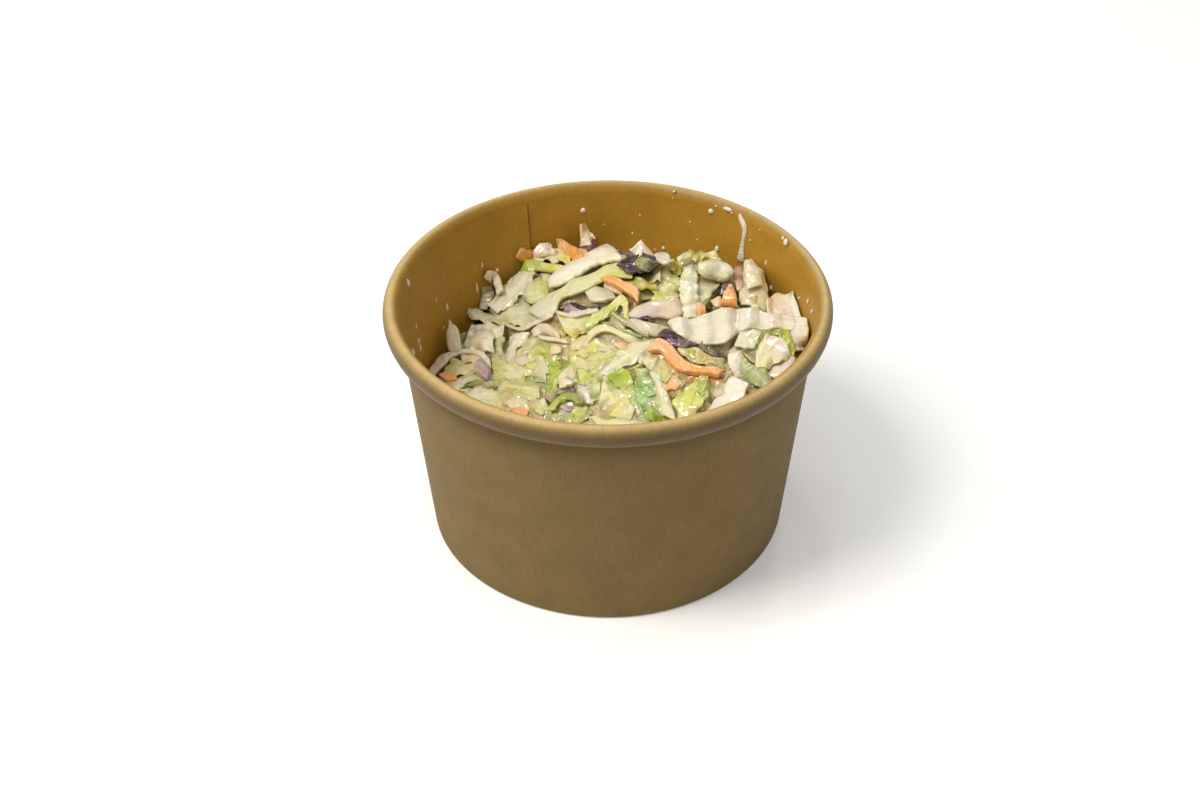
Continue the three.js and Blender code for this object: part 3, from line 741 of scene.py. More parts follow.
     [(697, 344), (706, 343), (713, 347), (720, 353)], [(699, 350), (708, 354.5), (716, 358), (721, 358)]),
    ("red", 1.0, "purple", "wine", (0.7, 0.7),
     [(665, 337), (672, 334.5), (680, 339), (694, 342)],
     [(667, 342.5), (674, 347), (684, 348), (696, 347)]),
    ("leaf", 0.8, "ivory", "mustard", (0.6, 0.8),
     [(677, 348), (690, 346.5), (703, 352), (718, 358)], [(681, 356), (690, 360), (704, 364), (720, 367)]),
    ("leaf", 0.6, "mustard", "yellow", (0.9, 0.9),
     [(684, 352), (691, 350), (698, 353)], [(685, 357), (691, 358), (699, 359)]),
    ("leaf", 0.6, "mustard", "olive", (0.9, 0.9),
     [(704, 361), (714, 359), (726, 359)], [(705, 367), (716, 369.5), (724, 372)]),
    ("rib", 1.2, "lilac", "pink", (0.8, 0.8),
     [(727, 354), (738, 344), (750, 349), (763, 355)], [(731, 361), (741, 354), (752, 363), (764, 367)]),
    ("rib", 1.2, "white", "lilac", (0.5, 0.6),
     [(727, 354), (729, 367), (732, 379)], [(742, 352), (742, 365), (746, 379)], dict(crown=0.15)),
    ("leaf", 0.8, "taupe", "pink", (0.2, 0.4),
     [(722, 367), (720, 380), (719, 392)], [(730, 359), (732, 372), (729, 385)]),
    ("rib", 1.4, "ice", "ice", (1.3, 1.4),
     [(740, 328), (752, 326.5), (762, 330.5)], [(735.5, 346), (747, 349), (756, 349)]),
    ("green", 1.0, "olive", "lime", (1.7, 1.7),
     [(756, 345), (760, 334), (768, 327.5), (778, 326.5), (788, 330.5), (793, 342), (794, 359)],
     [(758, 348), (764, 341), (769, 336.5), (776, 336.5), (780, 343.5), (785, 350), (791, 359)]),
    ("rib", 1.2, "white", "lilac", (1, 1),
     [(765, 365), (773, 356), (782, 349.5), (794, 358)], [(768, 376), (777, 379), (786, 377), (795, 369)],
     dict(crown=0.2)),
    ("leaf", 1.0, "ivory", "lilac", (2.2, 1.4),
     [(754, 351), (762, 342), (769, 334.5), (778, 336), (785, 344)],
     [(757, 367), (766, 368), (776, 364), (785, 361), (793, 356)], dict(crown=0.05)),
    ("rib", 1.5, "pink", "pink", (0.5, 0.6),
     [(747, 389), (753, 381.5), (762, 386)], [(749, 398), (756, 399.5), (764, 394)]),
    ("green", 0.9, "sage", "sage", (1.5, 1.5),
     [(742, 353), (749, 362.5), (760, 366.5), (767, 373.5), (774, 382)],
     [(739.5, 362), (743, 375), (751, 382), (758, 387), (764, 391)], dict(edge="leaf")),
    ("rib", 1.2, "lilac", "pink", (0.5, 0.5),
     [(708, 380), (715, 377), (724, 381)], [(710, 395), (717, 398), (723, 394)]),
    ("leaf", 0.8, "taupe", "pink", (0.4, 0.4), [(706, 395), (703, 409)], [(713, 397), (709, 413)]),
    ("rib", 1.2, "white", "white", (1, 1),
     [(704, 415), (714, 402), (725, 384), (733, 374)], [(714, 413), (729, 407), (742, 399), (748, 386)],
     dict(crumple=1.4)),
    # the near middle
    ("leaf", 0.8, "cream", "taupe", (0.2, 0.3),
     [(591, 403), (589, 413), (593, 425)], [(614, 402), (614, 413), (614, 427)], dict(crumple=1.4)),
    ("leaf", 1.0, "ivory", "pale", (0.3, 0.4),
     [(603, 383), (615, 387), (630, 391), (644, 398)], [(598, 403), (612, 408), (628, 413), (643, 416)],
     dict(crown=0.1)),
    ("leaf", 0.8, "yellow", "ivory", (0.5, 0.5),
     [(612, 406), (622, 398.5), (634, 402)], [(613, 416), (624, 421), (636, 418)]),
    ("leaf", 0.9, "pale", "white", (0.2, 0.3),
     [(594, 418), (615, 419), (635, 418), (656, 418)], [(598, 429), (620, 430), (640, 430), (658, 428)]),
    ("leaf", 0.9, "ivory", "pale", (0.3, 0.4),
     [(650, 360), (661, 375), (668, 392), (675, 414)], [(692, 373), (694, 384), (691, 397), (686, 414)],
     dict(crown=0.08)),
    ("leaf", 0.8, "peach", "cream", (0.7, 0.7),
     [(662, 382), (672, 376.5), (682, 382)], [(665, 393), (673, 396), (681, 392)]),
    ("carrot", 1.2, "carrot", "coral", (1.2, 1.1),
     [(667, 384.5), (672, 380), (679, 384)], [(668, 391), (673, 390), (678, 391)]),
    ("leaf", 0.8, "mustard", "olive", (0.2, 0.2),
     [(684, 415), (695, 408), (706, 404)], [(685, 421), (697, 420), (707, 413)]),
    ("leaf", 0.9, "lime", "pale", (1.1, 1.2),
     [(700, 373), (689, 388), (675, 396), (676, 418)], [(710, 368), (709, 388), (702, 406), (682, 422)],
     dict(crown=0.06)),
    ("leaf", 0.6, "lime", "green", (1.6, 1.4),
     [(703, 373), (697, 383), (695, 396)], [(708.5, 372), (707, 387), (702, 399)], dict(crumple=1.3)),
    ("leaf", 0.9, "pale", "lime", (0.8, 0.8),
     [(626, 368), (628, 381), (633, 396)], [(644, 364), (646, 375), (648, 389)]),
    ("leaf", 0.9, "green", "lime", (1.1, 1.1),
     [(608, 378), (616, 370.5), (624, 368), (631, 373)], [(611, 383), (618, 388), (626, 388), (632, 383)],
     dict(crumple=1.3)),
    ("leaf", 0.9, "mint", "ice", (0.8, 0.9),
     [(632, 387), (641, 391), (650, 387), (658, 391)], [(635, 400), (641, 409), (650, 408), (661, 404)],
     dict(crumple=1.5, edge="leaf")),
    ("leaf", 0.8, "leaf", "mint", (1.3, 1.2),
     [(634, 367), (637, 382), (641, 398)], [(646, 369), (652, 382), (656, 396)], dict(crumple=1.3)),
    ("green", 0.9, "green", "lime", (0.9, 0.9),
     [(645, 409), (655, 405), (663, 411), (674, 418)], [(648, 418), (656, 427), (665, 428), (679, 425)],
     dict(crumple=1.5)),
    ("rib", 1.1, "ice", "ivory", (1.2, 1.3),
     [(647, 371), (655, 388), (659, 400), (662, 417)], [(660, 374), (666, 390), (671, 402), (676, 420)],
     dict(crown=0.2, crumple=1.4)),
    ("leaf", 0.8, "ivory", "pear", (0.5, 0.6),
     [(640, 352), (650, 352), (662, 359), (675, 373)], [(636, 361), (646, 367), (655, 376), (664, 385)]),
    ("carrot", 0.9, "peach", "pink", (0.8, 0.9),
     [(676, 368), (690, 372), (704, 371)], [(678, 374), (690, 378), (704, 376)]),
    ("carrot", 1.8, "coral", "carrot", (1.3, 1.3),
     [(649, 347), (656, 340), (662, 340), (673, 348), (684, 361), (699, 367), (712, 369), (722, 371)],
     [(650, 350), (657, 351), (662, 353), (668, 361), (677, 370), (692, 374), (708, 375), (721, 377.5)],
     dict(crown=0.1)),
]

# Drops of dressing on the inside of the wall: the spot of the view, and the drop's length and width in mm.
WALL_DROPS = [
    (583, 210, 1.8, 1.7), (578, 206, 0.5, 0.5), (632.5, 233, 0.8, 0.7), (663.5, 248, 1.2, 1.1),
    (655, 249.5, 0.7, 0.6), (674, 191.5, 0.9, 0.8), (673, 198, 0.5, 0.4), (711, 211, 1.6, 1.8),
    (716, 206, 0.6, 0.6), (728, 209, 1.2, 3.2), (732, 213, 0.7, 0.7), (786, 242, 2.2, 1.9),
    (783, 238, 1.2, 1.0), (717, 249, 2.2, 1.5), (766, 263, 1.9, 0.7), (808, 301, 1.6, 0.8),
    (812, 312, 1.6, 0.8), (799, 298, 1.0, 0.6), (407.5, 283, 2.6, 1.6), (436, 299.5, 0.8, 0.8),
    (447, 307, 2.9, 0.8), (416, 326, 2.0, 0.6), (418.5, 341, 2.0, 0.9), (420, 348, 2.6, 1.0),
    (412.5, 353, 2.6, 2.2), (443.5, 327, 1.2, 0.6), (477, 288, 4.2, 0.8), (482, 265, 2.0, 0.7),
    (497, 270, 1.4, 1.2), (592.5, 237, 2.2, 1.6), (472, 323, 1.0, 0.9), (771, 288, 1.8, 1.2),
    (750, 240, 0.7, 0.5), (560, 232, 0.5, 0.5), (604, 224, 0.5, 0.5), (690, 222, 0.6, 0.5),
    (520, 236, 0.6, 0.5), (697, 240, 0.5, 0.5), (640, 215, 0.5, 0.5), (760, 230, 0.6, 0.5),
]
# The run of dressing down the wall: spots of the view that it passes, and its width there in mm. It is made
# of many drops of one length that overlap.
WALL_RUN = [
    (739.5, 217, 0.7), (743.5, 224, 1.7), (745, 230, 1.7), (743.5, 241, 1.4), (742, 250, 1.9),
    (741, 258, 2.6),
]
RUN_DROPS, RUN_DROP_LENGTH = 90, 2.4

# Where (x, y, reach in mm) the dressing has drained away between the shreds, and how deep.
# Dark leaves of TOP_SHREDS lie under the first two gaps as painted shade.
DRAINED = ((-12.2, -15.7, 3.6), (-5.0, -21.2, 2.6), (-37.1, -2.1, 2.6), (-1.2, -5.9, 1.2))
DRAINED_DEPTH = 2.2

# How far below the level of the pile its shade begins, and over how many mm it grows.
SHADE_FROM, SHADE_REACH = 0.1, 3.2

# The pile that was laid last. The shreds and the dressing are modelled from it.
PILE = None


def creaminess(x, y):
    """How thickly the dressing lies: 0 on the loose far side, and 1 where it has pooled at the near side."""
    near = 1 / (1 + np.exp((y + 6 + 0.1 * x) / 5))
    near_left = np.exp(-(((x + 20) / 24) ** 2 + ((y + 14) / 14) ** 2))
    left = np.exp(-(((x + 24) / 20) ** 2 + ((y - 6) / 16) ** 2))
    return np.clip(0.25 + 0.55 * near + 0.4 * near_left + 0.25 * left, 0, 1)


def in_mm(length):
    """A length from the settings, which are in metres, in mm."""
    return round(length / MM, 3)


def lay_pile(settings):
    """Lays every shred, the buried ones first."""
    pile = Pile(settings.seed, in_mm(settings.pile_depth))
    pile.scatter(
        BURIED_MIX, settings.buried_count, lengths=(10, 26), widths=(3.0, 5.5), thicks=(0.9, 1.8),
        blank="coarse", bounds=(-9.0, -3.2),
    )
    pile.scatter(
        SPREAD_MIX, settings.spread_count, lengths=(12, 32), widths=(3.4, 7.5), thicks=(1.0, 1.8),
        blank="medium", bounds=(-4.5, -2.0),
    )
    for k, (kind, thick, start, end, lifts, first, last, *shape) in enumerate(TOP_SHREDS):
        # The later a shred is laid, the higher it may lie.
        bounds = (-1.0, -0.2 + 1.2 * k / len(TOP_SHREDS))
        pile.lay_between(kind, thick, (start, end), lifts, first, last, bounds, **dict(*shape))
    pile.level = soften(pile.heights.z, 1.8 / GRID)
    return pile


def depth_share(points):
    """How deep in the pile each point lies: 0 on the tops of the shreds, 1 down between them."""
    level = read_grid(PILE.level, points[:, 0], points[:, 1])
    return np.clip((level - points[:, 2] - SHADE_FROM) / SHADE_REACH, 0, 1)


# ---- meshes ----


def deselect():
    """Leaves edit mode and selects nothing."""
    if bpy.context.mode != "OBJECT":
        bpy.ops.object.mode_set(mode="OBJECT")
    bpy.ops.object.select_all(action="DESELECT")


def coordinates(mesh):
    """Places of a mesh's points, in metres."""
    values = np.empty(len(mesh.vertices) * 3)
    mesh.vertices.foreach_get("co", values)
    return values.reshape(-1, 3)


def place(mesh, points):
    """Moves a mesh's points, in metres."""
    mesh.vertices.foreach_set("co", np.asarray(points, float).ravel())
    mesh.update()


def write_values(mesh, name, values):
    """Gives each point of a mesh a number that its material reads."""
    mesh.attributes.new(name, "FLOAT", "POINT").data.foreach_set("value", values)


def write_tints(mesh, tints):
    """Gives each point of a mesh the colour that its material starts from."""
    layer = mesh.color_attributes.new("tint", "FLOAT_COLOR", "POINT")
    layer.data.foreach_set("color", np.column_stack([tints, np.ones(len(tints))]).ravel())


def finish_piece(piece, material, slot, *nodes):
    """Gives a piece its material and puts it on the cup's body, in place of the CAD nodes that are named."""
    piece.data.materials.clear()
    piece.data.materials.append(material)
    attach(piece, "root")
    if nodes:
        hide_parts(*nodes)


def ripple(random, x, y, waves):
    """Smooth random relief from a few crossing waves, between about -1 and 1. Waves are lengths in mm."""
    total = np.zeros_like(x)
    for length in waves:
        angle = random.uniform(-0.9, 0.9) + random.integers(0, 2) * math.pi / 2
        phase = random.uniform(0, 2 * math.pi)
        rate = 2 * math.pi / (length * random.uniform(0.8, 1.25))
        total += np.sin(rate * (x * math.cos(angle) + y * math.sin(angle)) + phase)
    return total / math.sqrt(len(waves))


# ---- shreds ----


def model_blank(name, steps, rows, rounds):
    """Models a flat strip with soft edges, from -1 to 1 each way, and gives its points and faces."""
    deselect()
    bpy.ops.mesh.primitive_grid_add(x_subdivisions=steps, y_subdivisions=rows, size=2)
    strip = bpy.context.object
    strip.name = name
    wall = strip.modifiers.new("thickness", "SOLIDIFY")
    wall.thickness, wall.offset = 2.0, 0.0
    if rounds:
        soft = strip.modifiers.new("soft edges", "SUBSURF")
        soft.levels = soft.render_levels = rounds
    for modifier in list(strip.modifiers):
        bpy.ops.object.modifier_apply(modifier=modifier.name)
    points = coordinates(strip.data)
    faces = np.empty(len(strip.data.polygons) * 4, int)
    strip.data.polygons.foreach_get("vertices", faces)
    bpy.data.objects.remove(strip)
    points[:, 2] /= np.abs(points[:, 2]).max()
    # Closer rows at the rim keep the cut edges crisp.
    for axis, crisp in ((0, 1.2), (1, 1.7)):
        inward = 1 - np.abs(points[:, axis]).clip(0, 1)
        points[:, axis] = np.sign(points[:, axis]) * (1 - inward**crisp)
    return points, faces.reshape(-1, 4)


def ragged_outline(random, shred, share, across, end, mm_along):
    """How much of its width a shred has at each point: less at both ends, and uneven along its edges."""
    first, last = shred["taper"]
    narrow = np.where(share < 0.5, first, last)
    outline = narrow + (1 - narrow) * np.sin(end * math.pi / 2)
    for side in (-1, 1):
        rag = ripple(random, mm_along, np.zeros_like(mm_along), (11.0, 4.5, 2.1))
        outline = outline + KINDS[shred["kind"]]["fray"] * rag * np.clip(side * across, 0, 1)
    return outline


def crumpled_lift(random, shred, across, width, mm_along, mm_across):
    """How many mm a shred's faces rise: crowned, crumpled, and ruffled along the edges."""
    form = KINDS[shred["kind"]]
    lift = shred["crown"] * width / 2 * (1 - across**2)
    crumple = shred["crumple"] * form["crumple"] * ripple(random, mm_along, mm_across, (7.0, 4.2, 2.6, 3.4))
    lift = lift + crumple * 0.7
    turns = 2 * math.pi * mm_along / random.uniform(5.0, 8.0) + random.uniform(0, 6.28)
    turns = turns + (across > 0) * random.uniform(1, 3)
    return lift + form["ruffle"] * np.abs(across) ** 2.5 * np.sin(turns)


def shred_paint(random, shred, share, across, mm_along, mm_across):
    """A shred's colours: one end's tint to the other's, deeper at its edges, partly as painted shade."""
    start, end = (np.array(srgb(TINTS[name])) for name in shred["tints"])
    turn = share * 1.3 - 0.15 + 0.18 * ripple(random, mm_along, mm_across, (9.0, 5.0))
    turn = np.clip(turn, 0, 1)[:, None]
    paint = start * (1 - turn) + end * turn
    if shred["edge"]:
        rim = (np.abs(across) ** 4)[:, None] * 0.7
        paint = paint * (1 - rim) + np.array(srgb(TINTS[shred["edge"]])) * rim
    # Deeper, yellower edges: partly the tone of thin flesh, partly painted shade parting the shreds.
    juicy = (np.abs(across) ** 3)[:, None]
    paint = paint * (1 - juicy * (0.1, 0.08, 0.26))
    return paint * random.uniform(0.96, 1.06)


def keep_in_cup(points, through, thick):
    """Turns the points of a shred that reach the wall up along it."""
    away = np.hypot(points[:, 0], points[:, 1])
    limit = inner_radius(points[:, 2]) - 0.35 - 0.3 * (1 - through) * min(1.0, thick / 2)
    over = np.clip(away - limit, 0, None)
    points[:, :2] *= ((away - over) / np.maximum(away, 1e-6))[:, None]
    points[:, 2] += 0.55 * np.minimum(over, 6.0)


def bend_blank(blank, shred):
    """Bends a blank along a shred. Gives its points, its map along and across in mm, and its paint."""
    random = np.random.default_rng(shred["seed"])
    share, across, through = (blank[:, 0] + 1) / 2, blank[:, 1], blank[:, 2]
    at = share * (STATIONS - 1)
    width, thick = read_rows(shred["width"][:, None], at)[:, 0], shred["thick"]
    mm_along = share * shred["length"]
    to_end = np.minimum(share, 1 - share)
    end = np.clip(to_end * shred["length"] / (0.7 * width), 0, 1)
    mm_across = across * ragged_outline(random, shred, share, across, end, mm_along) * width / 2
    # The ends are cut askew.
    skew = random.uniform(-0.25, 0.25) * min(shred["width"].mean(), 4.0)
    mm_skew = skew * across * (1 - np.minimum(1, to_end * 6))
    lift = crumpled_lift(random, shred, across, width, mm_along, mm_across)
    # It thins to its edges and ends.
    thinned = 1 - KINDS[shred["kind"]]["thin"] * across**2
    body = thinned * (0.55 + 0.45 * np.sin(np.clip(end * 1.6, 0, 1) * math.pi / 2))
    body = body * (1 + 0.12 * ripple(random, mm_along, mm_across, (5.0, 3.0)))
    points = read_rows(shred["centre"], at) + read_rows(shred["side"], at) * mm_across[:, None]
    points = points + read_rows(shred["normal"], at) * (lift + through * thick / 2 * body)[:, None]
    tangent = unit(np.gradient(shred["centre"], axis=0))
    points = points + read_rows(tangent, at) * mm_skew[:, None]
    keep_in_cup(points, through, thick)
    paint = shred_paint(random, shred, share, across, mm_along, mm_across)
    return points, np.column_stack([mm_along, mm_across]), paint


def join_shreds(name, kind, blanks):
    """Joins all shreds of a kind into one piece, with their map, their tints and how deep they lie."""
    parts = []
    count = 0
    for shred in PILE.shreds:
        if shred["kind"] != kind:
            continue
        blank, quads = blanks[shred["blank"]]
        points, flat, paint = bend_blank(blank, shred)
        # Each shred lies elsewhere on the map, so that no two show the same veins.
        start = np.random.default_rng(shred["seed"]).uniform(0, 200, 2)
        parts.append((points, quads + count, flat + start, paint))
        count += len(points)
    points, faces, maps, tints = (np.vstack(rows) for rows in zip(*parts))
    mesh = bpy.data.meshes.new(name)
    mesh.vertices.add(len(points))
    mesh.vertices.foreach_set("co", (points * MM).ravel())
    mesh.loops.add(faces.size)
    mesh.loops.foreach_set("vertex_index", faces.ravel())
    mesh.polygons.add(len(faces))
    mesh.polygons.foreach_set("loop_start", np.arange(0, faces.size, 4))
    mesh.polygons.foreach_set("use_smooth", np.ones(len(faces), bool))
    mesh.update(calc_edges=True)
    mesh.uv_layers.new(name="along_shred").data.foreach_set("uv", (maps[faces.ravel()] * 0.01).ravel())
    write_tints(mesh, tints)
    # How deep each point lies, which its material darkens as painted shade between the shreds.
    write_values(mesh, "deep", depth_share(points))
    mesh.validate()
    piece = bpy.data.objects.new(name, mesh)
    bpy.context.scene.collection.objects.link(piece)
    return piece


# ---- the paper cup ----


def board_section(line):
    """Both faces of a strip of board that follows a centre line, as one closed section."""
    line = np.asarray(line, float)
    along = unit(np.gradient(line, axis=0))
    normal = np.column_stack([-along[:, 1], along[:, 0]])
    return np.vstack([line - normal * BOARD / 2, (line + normal * BOARD / 2)[::-1]])


def wall_line():
    """The wall's centre line: up the tucked hem, round the fold, up the wall and round the rim's roll."""
    line = [(wall_radius(HEM_TOP) - 2 * FOLD, z) for z in (HEM_TOP, 4.0, 2.6)]
    low = FOLD + BOARD / 2
    middle = wall_radius(low) - FOLD
    for angle in np.linspace(math.pi, 2 * math.pi, 9):
        line.append((middle + FOLD * math.cos(angle), low + FOLD * math.sin(angle)))
    for z in (3, 5, 8, 10, 12, *range(16, 60, 4), 61.0, 63.0, 64.5, 65.5):
        line.append((wall_radius(z), z))
    # The roll runs over the top and ends half a millimetre clear of the wall. Its pressed lower edge stands a
    # little proud and catches the light.
    end = math.acos(1 - (0.5 + BOARD) / ROLL_X) - math.pi
    pressed = math.radians(-52)
    over = np.linspace(math.pi, pressed + 0.3, 24)
    edge = np.linspace(pressed + 0.2, pressed - 0.2, 7)
    for angle in (*over, *edge, *np.linspace(pressed - 0.3, end, 5)):
        reach = 1 + 0.11 * math.exp(-(((angle - pressed) / 0.12) ** 2))
        x, z = ROLL_X * reach * math.cos(angle), ROLL_Z * reach * math.sin(angle)
        line.append((ROLL_CENTRE[0] + x, ROLL_CENTRE[1] + z))
    return line


def skirt_radius(z):
    """Radius of the middle of the base's skirt at a height: just inside the wall."""
    return wall_radius(z) - BOARD - 0.3


def base_line():
    """The base's centre line: up the skirt, round its corner and in to the middle of the disc."""
    disc = BASE_LIFT + BOARD / 2
    middle, low = skirt_radius(disc) - BASE_CORNER, disc - BASE_CORNER
    line = [(skirt_radius(z), z) for z in (1.2, 3.0)]
    for angle in np.linspace(0, math.pi / 2, 7):
        line.append((middle + BASE_CORNER * math.cos(angle), low + BASE_CORNER * math.sin(angle)))
    return line + [(radius, disc) for radius in (40, 30, 20, 10, 4, 0)]


def spin_section(name, section, turns):
    """Spins a closed section of (radius, height) points round the cup's axis."""
    deselect()
    bpy.ops.mesh.primitive_circle_add(vertices=len(section), radius=1)
    piece = bpy.context.object
    piece.name = name
    place(piece.data, [(radius * MM, 0, z * MM) for radius, z in section])
    bpy.ops.object.mode_set(mode="EDIT")
    bpy.ops.mesh.select_all(action="SELECT")
    bpy.ops.mesh.spin(steps=turns, angle=2 * math.pi, center=(0, 0, 0), axis=(0, 0, 1))
    bpy.ops.mesh.select_all(action="SELECT")
    bpy.ops.mesh.remove_doubles(threshold=0.02 * MM)
    bpy.ops.mesh.normals_make_consistent(inside=False)
    bpy.ops.object.mode_set(mode="OBJECT")
    return piece


def lap_seam(angle, radius, z, turns):
    """Moves the wall's points to make the two steps of its lapped seam, and gives their new radius.

    The angles, in degrees, are changed in place.
    """
    # Four columns of points come close together at each edge of the seam, for its step and its dark line.
    step = 360 / turns
    for edge in (SEAM_INNER, SEAM_OUTER):
        low = math.floor(edge / step) * step
        for column, turn in enumerate((-0.45, -0.15, 0.15, 0.45)):
            angle[np.abs(angle - low - (column - 1) * step) < 0.01] = edge + turn
    # The steps run out above the fold and below the roll.
    share = np.clip((z - SEAM_FOOT) / SEAM_RUN_OUT, 0, 1) * np.clip((SEAM_TOP - z) / SEAM_RUN_OUT, 0, 1)
    across = (angle - SEAM_INNER) / (SEAM_OUTER - SEAM_INNER)
    lapped = (across > 0) & (across < 1) & (radius > wall_radius(z) - 0.6) & (z > ABOVE_HEM)
    inside = radius < wall_radius(z)
    radius = radius - np.where(lapped & inside, SEAM_STEP * (1 - across) * share, 0)
    return radius + np.where(lapped & ~inside, SEAM_STEP * across * share, 0)


def shape_wall(wall, turns):
    """Laps the spun wall, and gives which of its points are coated.

    It also writes at each point how lined the board is, its painted highlight, and its seam lines and painted
    shade.
    """
    points = coordinates(wall.data) / MM
    angle = np.degrees(np.arctan2(points[:, 1], points[:, 0])) % 360
    radius, z = np.hypot(points[:, 0], points[:, 1]), points[:, 2]
    inside = radius < wall_radius(z)
    radius = lap_seam(angle, radius, z, turns)
    # The board isn't a perfect round: it gives by a tenth of a millimetre.
    around = np.radians(angle)
    radius = radius + 0.12 * np.sin(2 * around + 0.7) + 0.07 * np.sin(5 * around + 2.0)
    place(wall.data, np.column_stack([radius * np.cos(around), radius * np.sin(around), z]) * MM)

    inner = (radius < wall_radius(z)) & (z < ROLL_CENTRE[1])
    roll_x, roll_z = (radius - ROLL_CENTRE[0]) / ROLL_X, (z - ROLL_CENTRE[1]) / ROLL_Z
    rolled = (z >= ROLL_FROM) & (roll_x**2 + roll_z**2 > 1) & ((roll_x > 0) | (roll_z > 0))
    # Degrees round the roll: 180 at the wall, 90 on top, 0 outside and -90 below.
    turned = np.degrees(np.arctan2(roll_z, roll_x))
    # The coated lining shows inside the cup and fades where the roll turns out.
    lined = np.where(rolled, 0.06 + 0.94 * np.clip((turned - 105) / 55, 0, 1), 0.0)
    write_values(wall.data, "lining", np.where(inner & (z > ABOVE_HEM), 1.0, lined))
    # A painted highlight pales the board over the top of the roll, where the light catches it.
    painted_highlight = np.exp(-(((turned - 86) / np.where(turned < 86, 45, 29)) ** 2))
    write_values(wall.data, "painted_highlight", np.where(rolled, painted_highlight, 0.0))
    # Darker at the seam's edges; painted shade under the roll and on its outer, lower side, not its pressed
    # edge.
    pressed = np.exp(-(((turned + 50) / 9) ** 2))
    below = np.where(inner, 0.0, np.clip((z - 54) / 10, 0, 1) ** 1.5 * 0.8)
    seam_line_and_shade = np.where(rolled, np.clip((55 - turned) / 45, 0, 1) * 0.7 * (1 - pressed), below)
    # The seam's dark lines run from above the base inside, and from the foot outside, to the roll.
    seam = np.abs(angle - np.where(inside, SEAM_INNER, SEAM_OUTER)) < 0.3
    seam = seam & (z > np.where(inside, 9, 0.5)) & (z < 66)
    write_values(wall.data, "seam_line_and_shade", np.where(seam, 0.7, seam_line_and_shade))
    return inner | rolled


def unroll(piece):
    """Gives a spun piece a map that runs round the cup and up it, in units of 100 mm."""
    mesh = piece.data
    points = coordinates(mesh) / MM
    corners = np.empty(len(mesh.loops), int)
    mesh.loops.foreach_get("vertex_index", corners)
    bearing = np.arctan2(points[:, 1], points[:, 0])[corners]
    for face in mesh.polygons:
        span = bearing[face.loop_start : face.loop_start + face.loop_total]
        if span.max() - span.min() > math.pi:
            span[span < 0] += 2 * math.pi
    around = np.column_stack([bearing * 0.5, points[corners, 2] * 0.01])
    mesh.uv_layers.new(name="round_cup").data.foreach_set("uv", around.ravel())


# ---- the dressing ----

CORE_STEPS = 250  # across the top of the dressed core
CORE_GAP = 0.4  # between the core and the wall
EDGE_HEIGHT = 46.0  # about where the heap meets the wall


def round_places(u, v):
    """Where the points of a square of half-size 1 come to lie when it is drawn out to a disc."""
    flat = np.abs(u) > np.abs(v)
    radius = np.where(flat, u, v)
    safe_u, safe_v = np.where(u == 0, 1, u), np.where(v == 0, 1, v)
    angle = np.where(flat, math.pi / 4 * v / safe_u, math.pi / 2 - math.pi / 4 * u / safe_v)
    return radius * np.cos(angle), radius * np.sin(angle)


def dressing_film(heights, depth):
    """Height of the dressing over the pile.

    It fills the creases, and where it has pooled it lies over the shreds.
    """
    x, y = heights.x, heights.y
    pooled = creaminess(x, y)
    random = np.random.default_rng(3)
    blobs = ripple(random, x, y, (13.0, 9.0, 7.0, 5.5))
    # It doesn't climb up to a shred that stands clear of the others.
    tops = np.minimum(heights.z, soften(heights.z, 5 / GRID) + 0.7)
    lowest = tops
    for axis in (0, 1):
        lowest = np.min([np.roll(lowest, k, axis) for k in (-2, -1, 0, 1, 2)], axis=0)
    clear = lowest * (1 - pooled) + tops * pooled
    near, wide = soften(clear, 0.5 / GRID), soften(tops, 1.4 / GRID)
    film = near * (1 - pooled) + (0.6 * near + 0.4 * wide) * pooled
    film = film - depth * (1 - pooled) + 0.4 * blobs * pooled - 0.4 + 0.3 * pooled**2
    fine = ripple(random, x, y, (2.3, 1.7, 1.2, 3.1)) * ripple(random, x, y, (6.0, 9.0))
    film = film + (0.12 + 0.14 * pooled) * fine
    for middle_x, middle_y, reach in DRAINED:
        film = film - DRAINED_DEPTH * np.exp(-((x - middle_x) ** 2 + (y - middle_y) ** 2) / reach**2)
    return film


def close_core(core):
    """Carries the edge of the core's top down inside the wall to the base, and closes it there."""
    bpy.ops.object.mode_set(mode="EDIT")
    bpy.ops.mesh.select_all(action="SELECT")
    bpy.ops.mesh.region_to_loop()
    bpy.ops.mesh.extrude_region_move()
    bpy.ops.object.mode_set(mode="OBJECT")
    points = coordinates(core.data)
    low = np.zeros(len(core.data.vertices), bool)
    core.data.vertices.foreach_get("select", low)
    floor = BASE_LIFT + BOARD + 0.3
    scale = (inner_radius(floor) - 0.5) * MM / np.hypot(points[low, 0], points[low, 1])
    points[low, :2] *= scale[:, None]
    points[low, 2] = floor * MM
    place(core.data, points)
    bpy.ops.object.mode_set(mode="EDIT")
    bpy.ops.mesh.edge_face_add()
    bpy.ops.mesh.select_all(action="SELECT")
    bpy.ops.mesh.normals_make_consistent(inside=False)
    bpy.ops.object.mode_set(mode="OBJECT")


def drop_points(ball, spot, length, width):
    """Points of a drop at a spot of the wall: flat where it clings, and fuller at its lower end."""
    out = unit(np.array((spot[0], spot[1], 0.0)))
    up = unit(np.array((out[0] * WALL_SLOPE, out[1] * WALL_SLOPE, 1.0)))
    side = np.cross(up, out)
    x, y, z = ball[:, :1], ball[:, 1:2], ball[:, 2:3]
    depth = y * np.where(y > 0, 0.2, min(width, 1.6) * 0.4 + 0.05)
    shape = side * x * width / 2 * (1 - 0.25 * z) + up * z * length / 2
    return spot + shape + out * depth


# ---- materials ----

METRE, MAP_UNIT = 1000.0, 100.0  # mm in a unit of Object coordinates, and of the pieces' maps
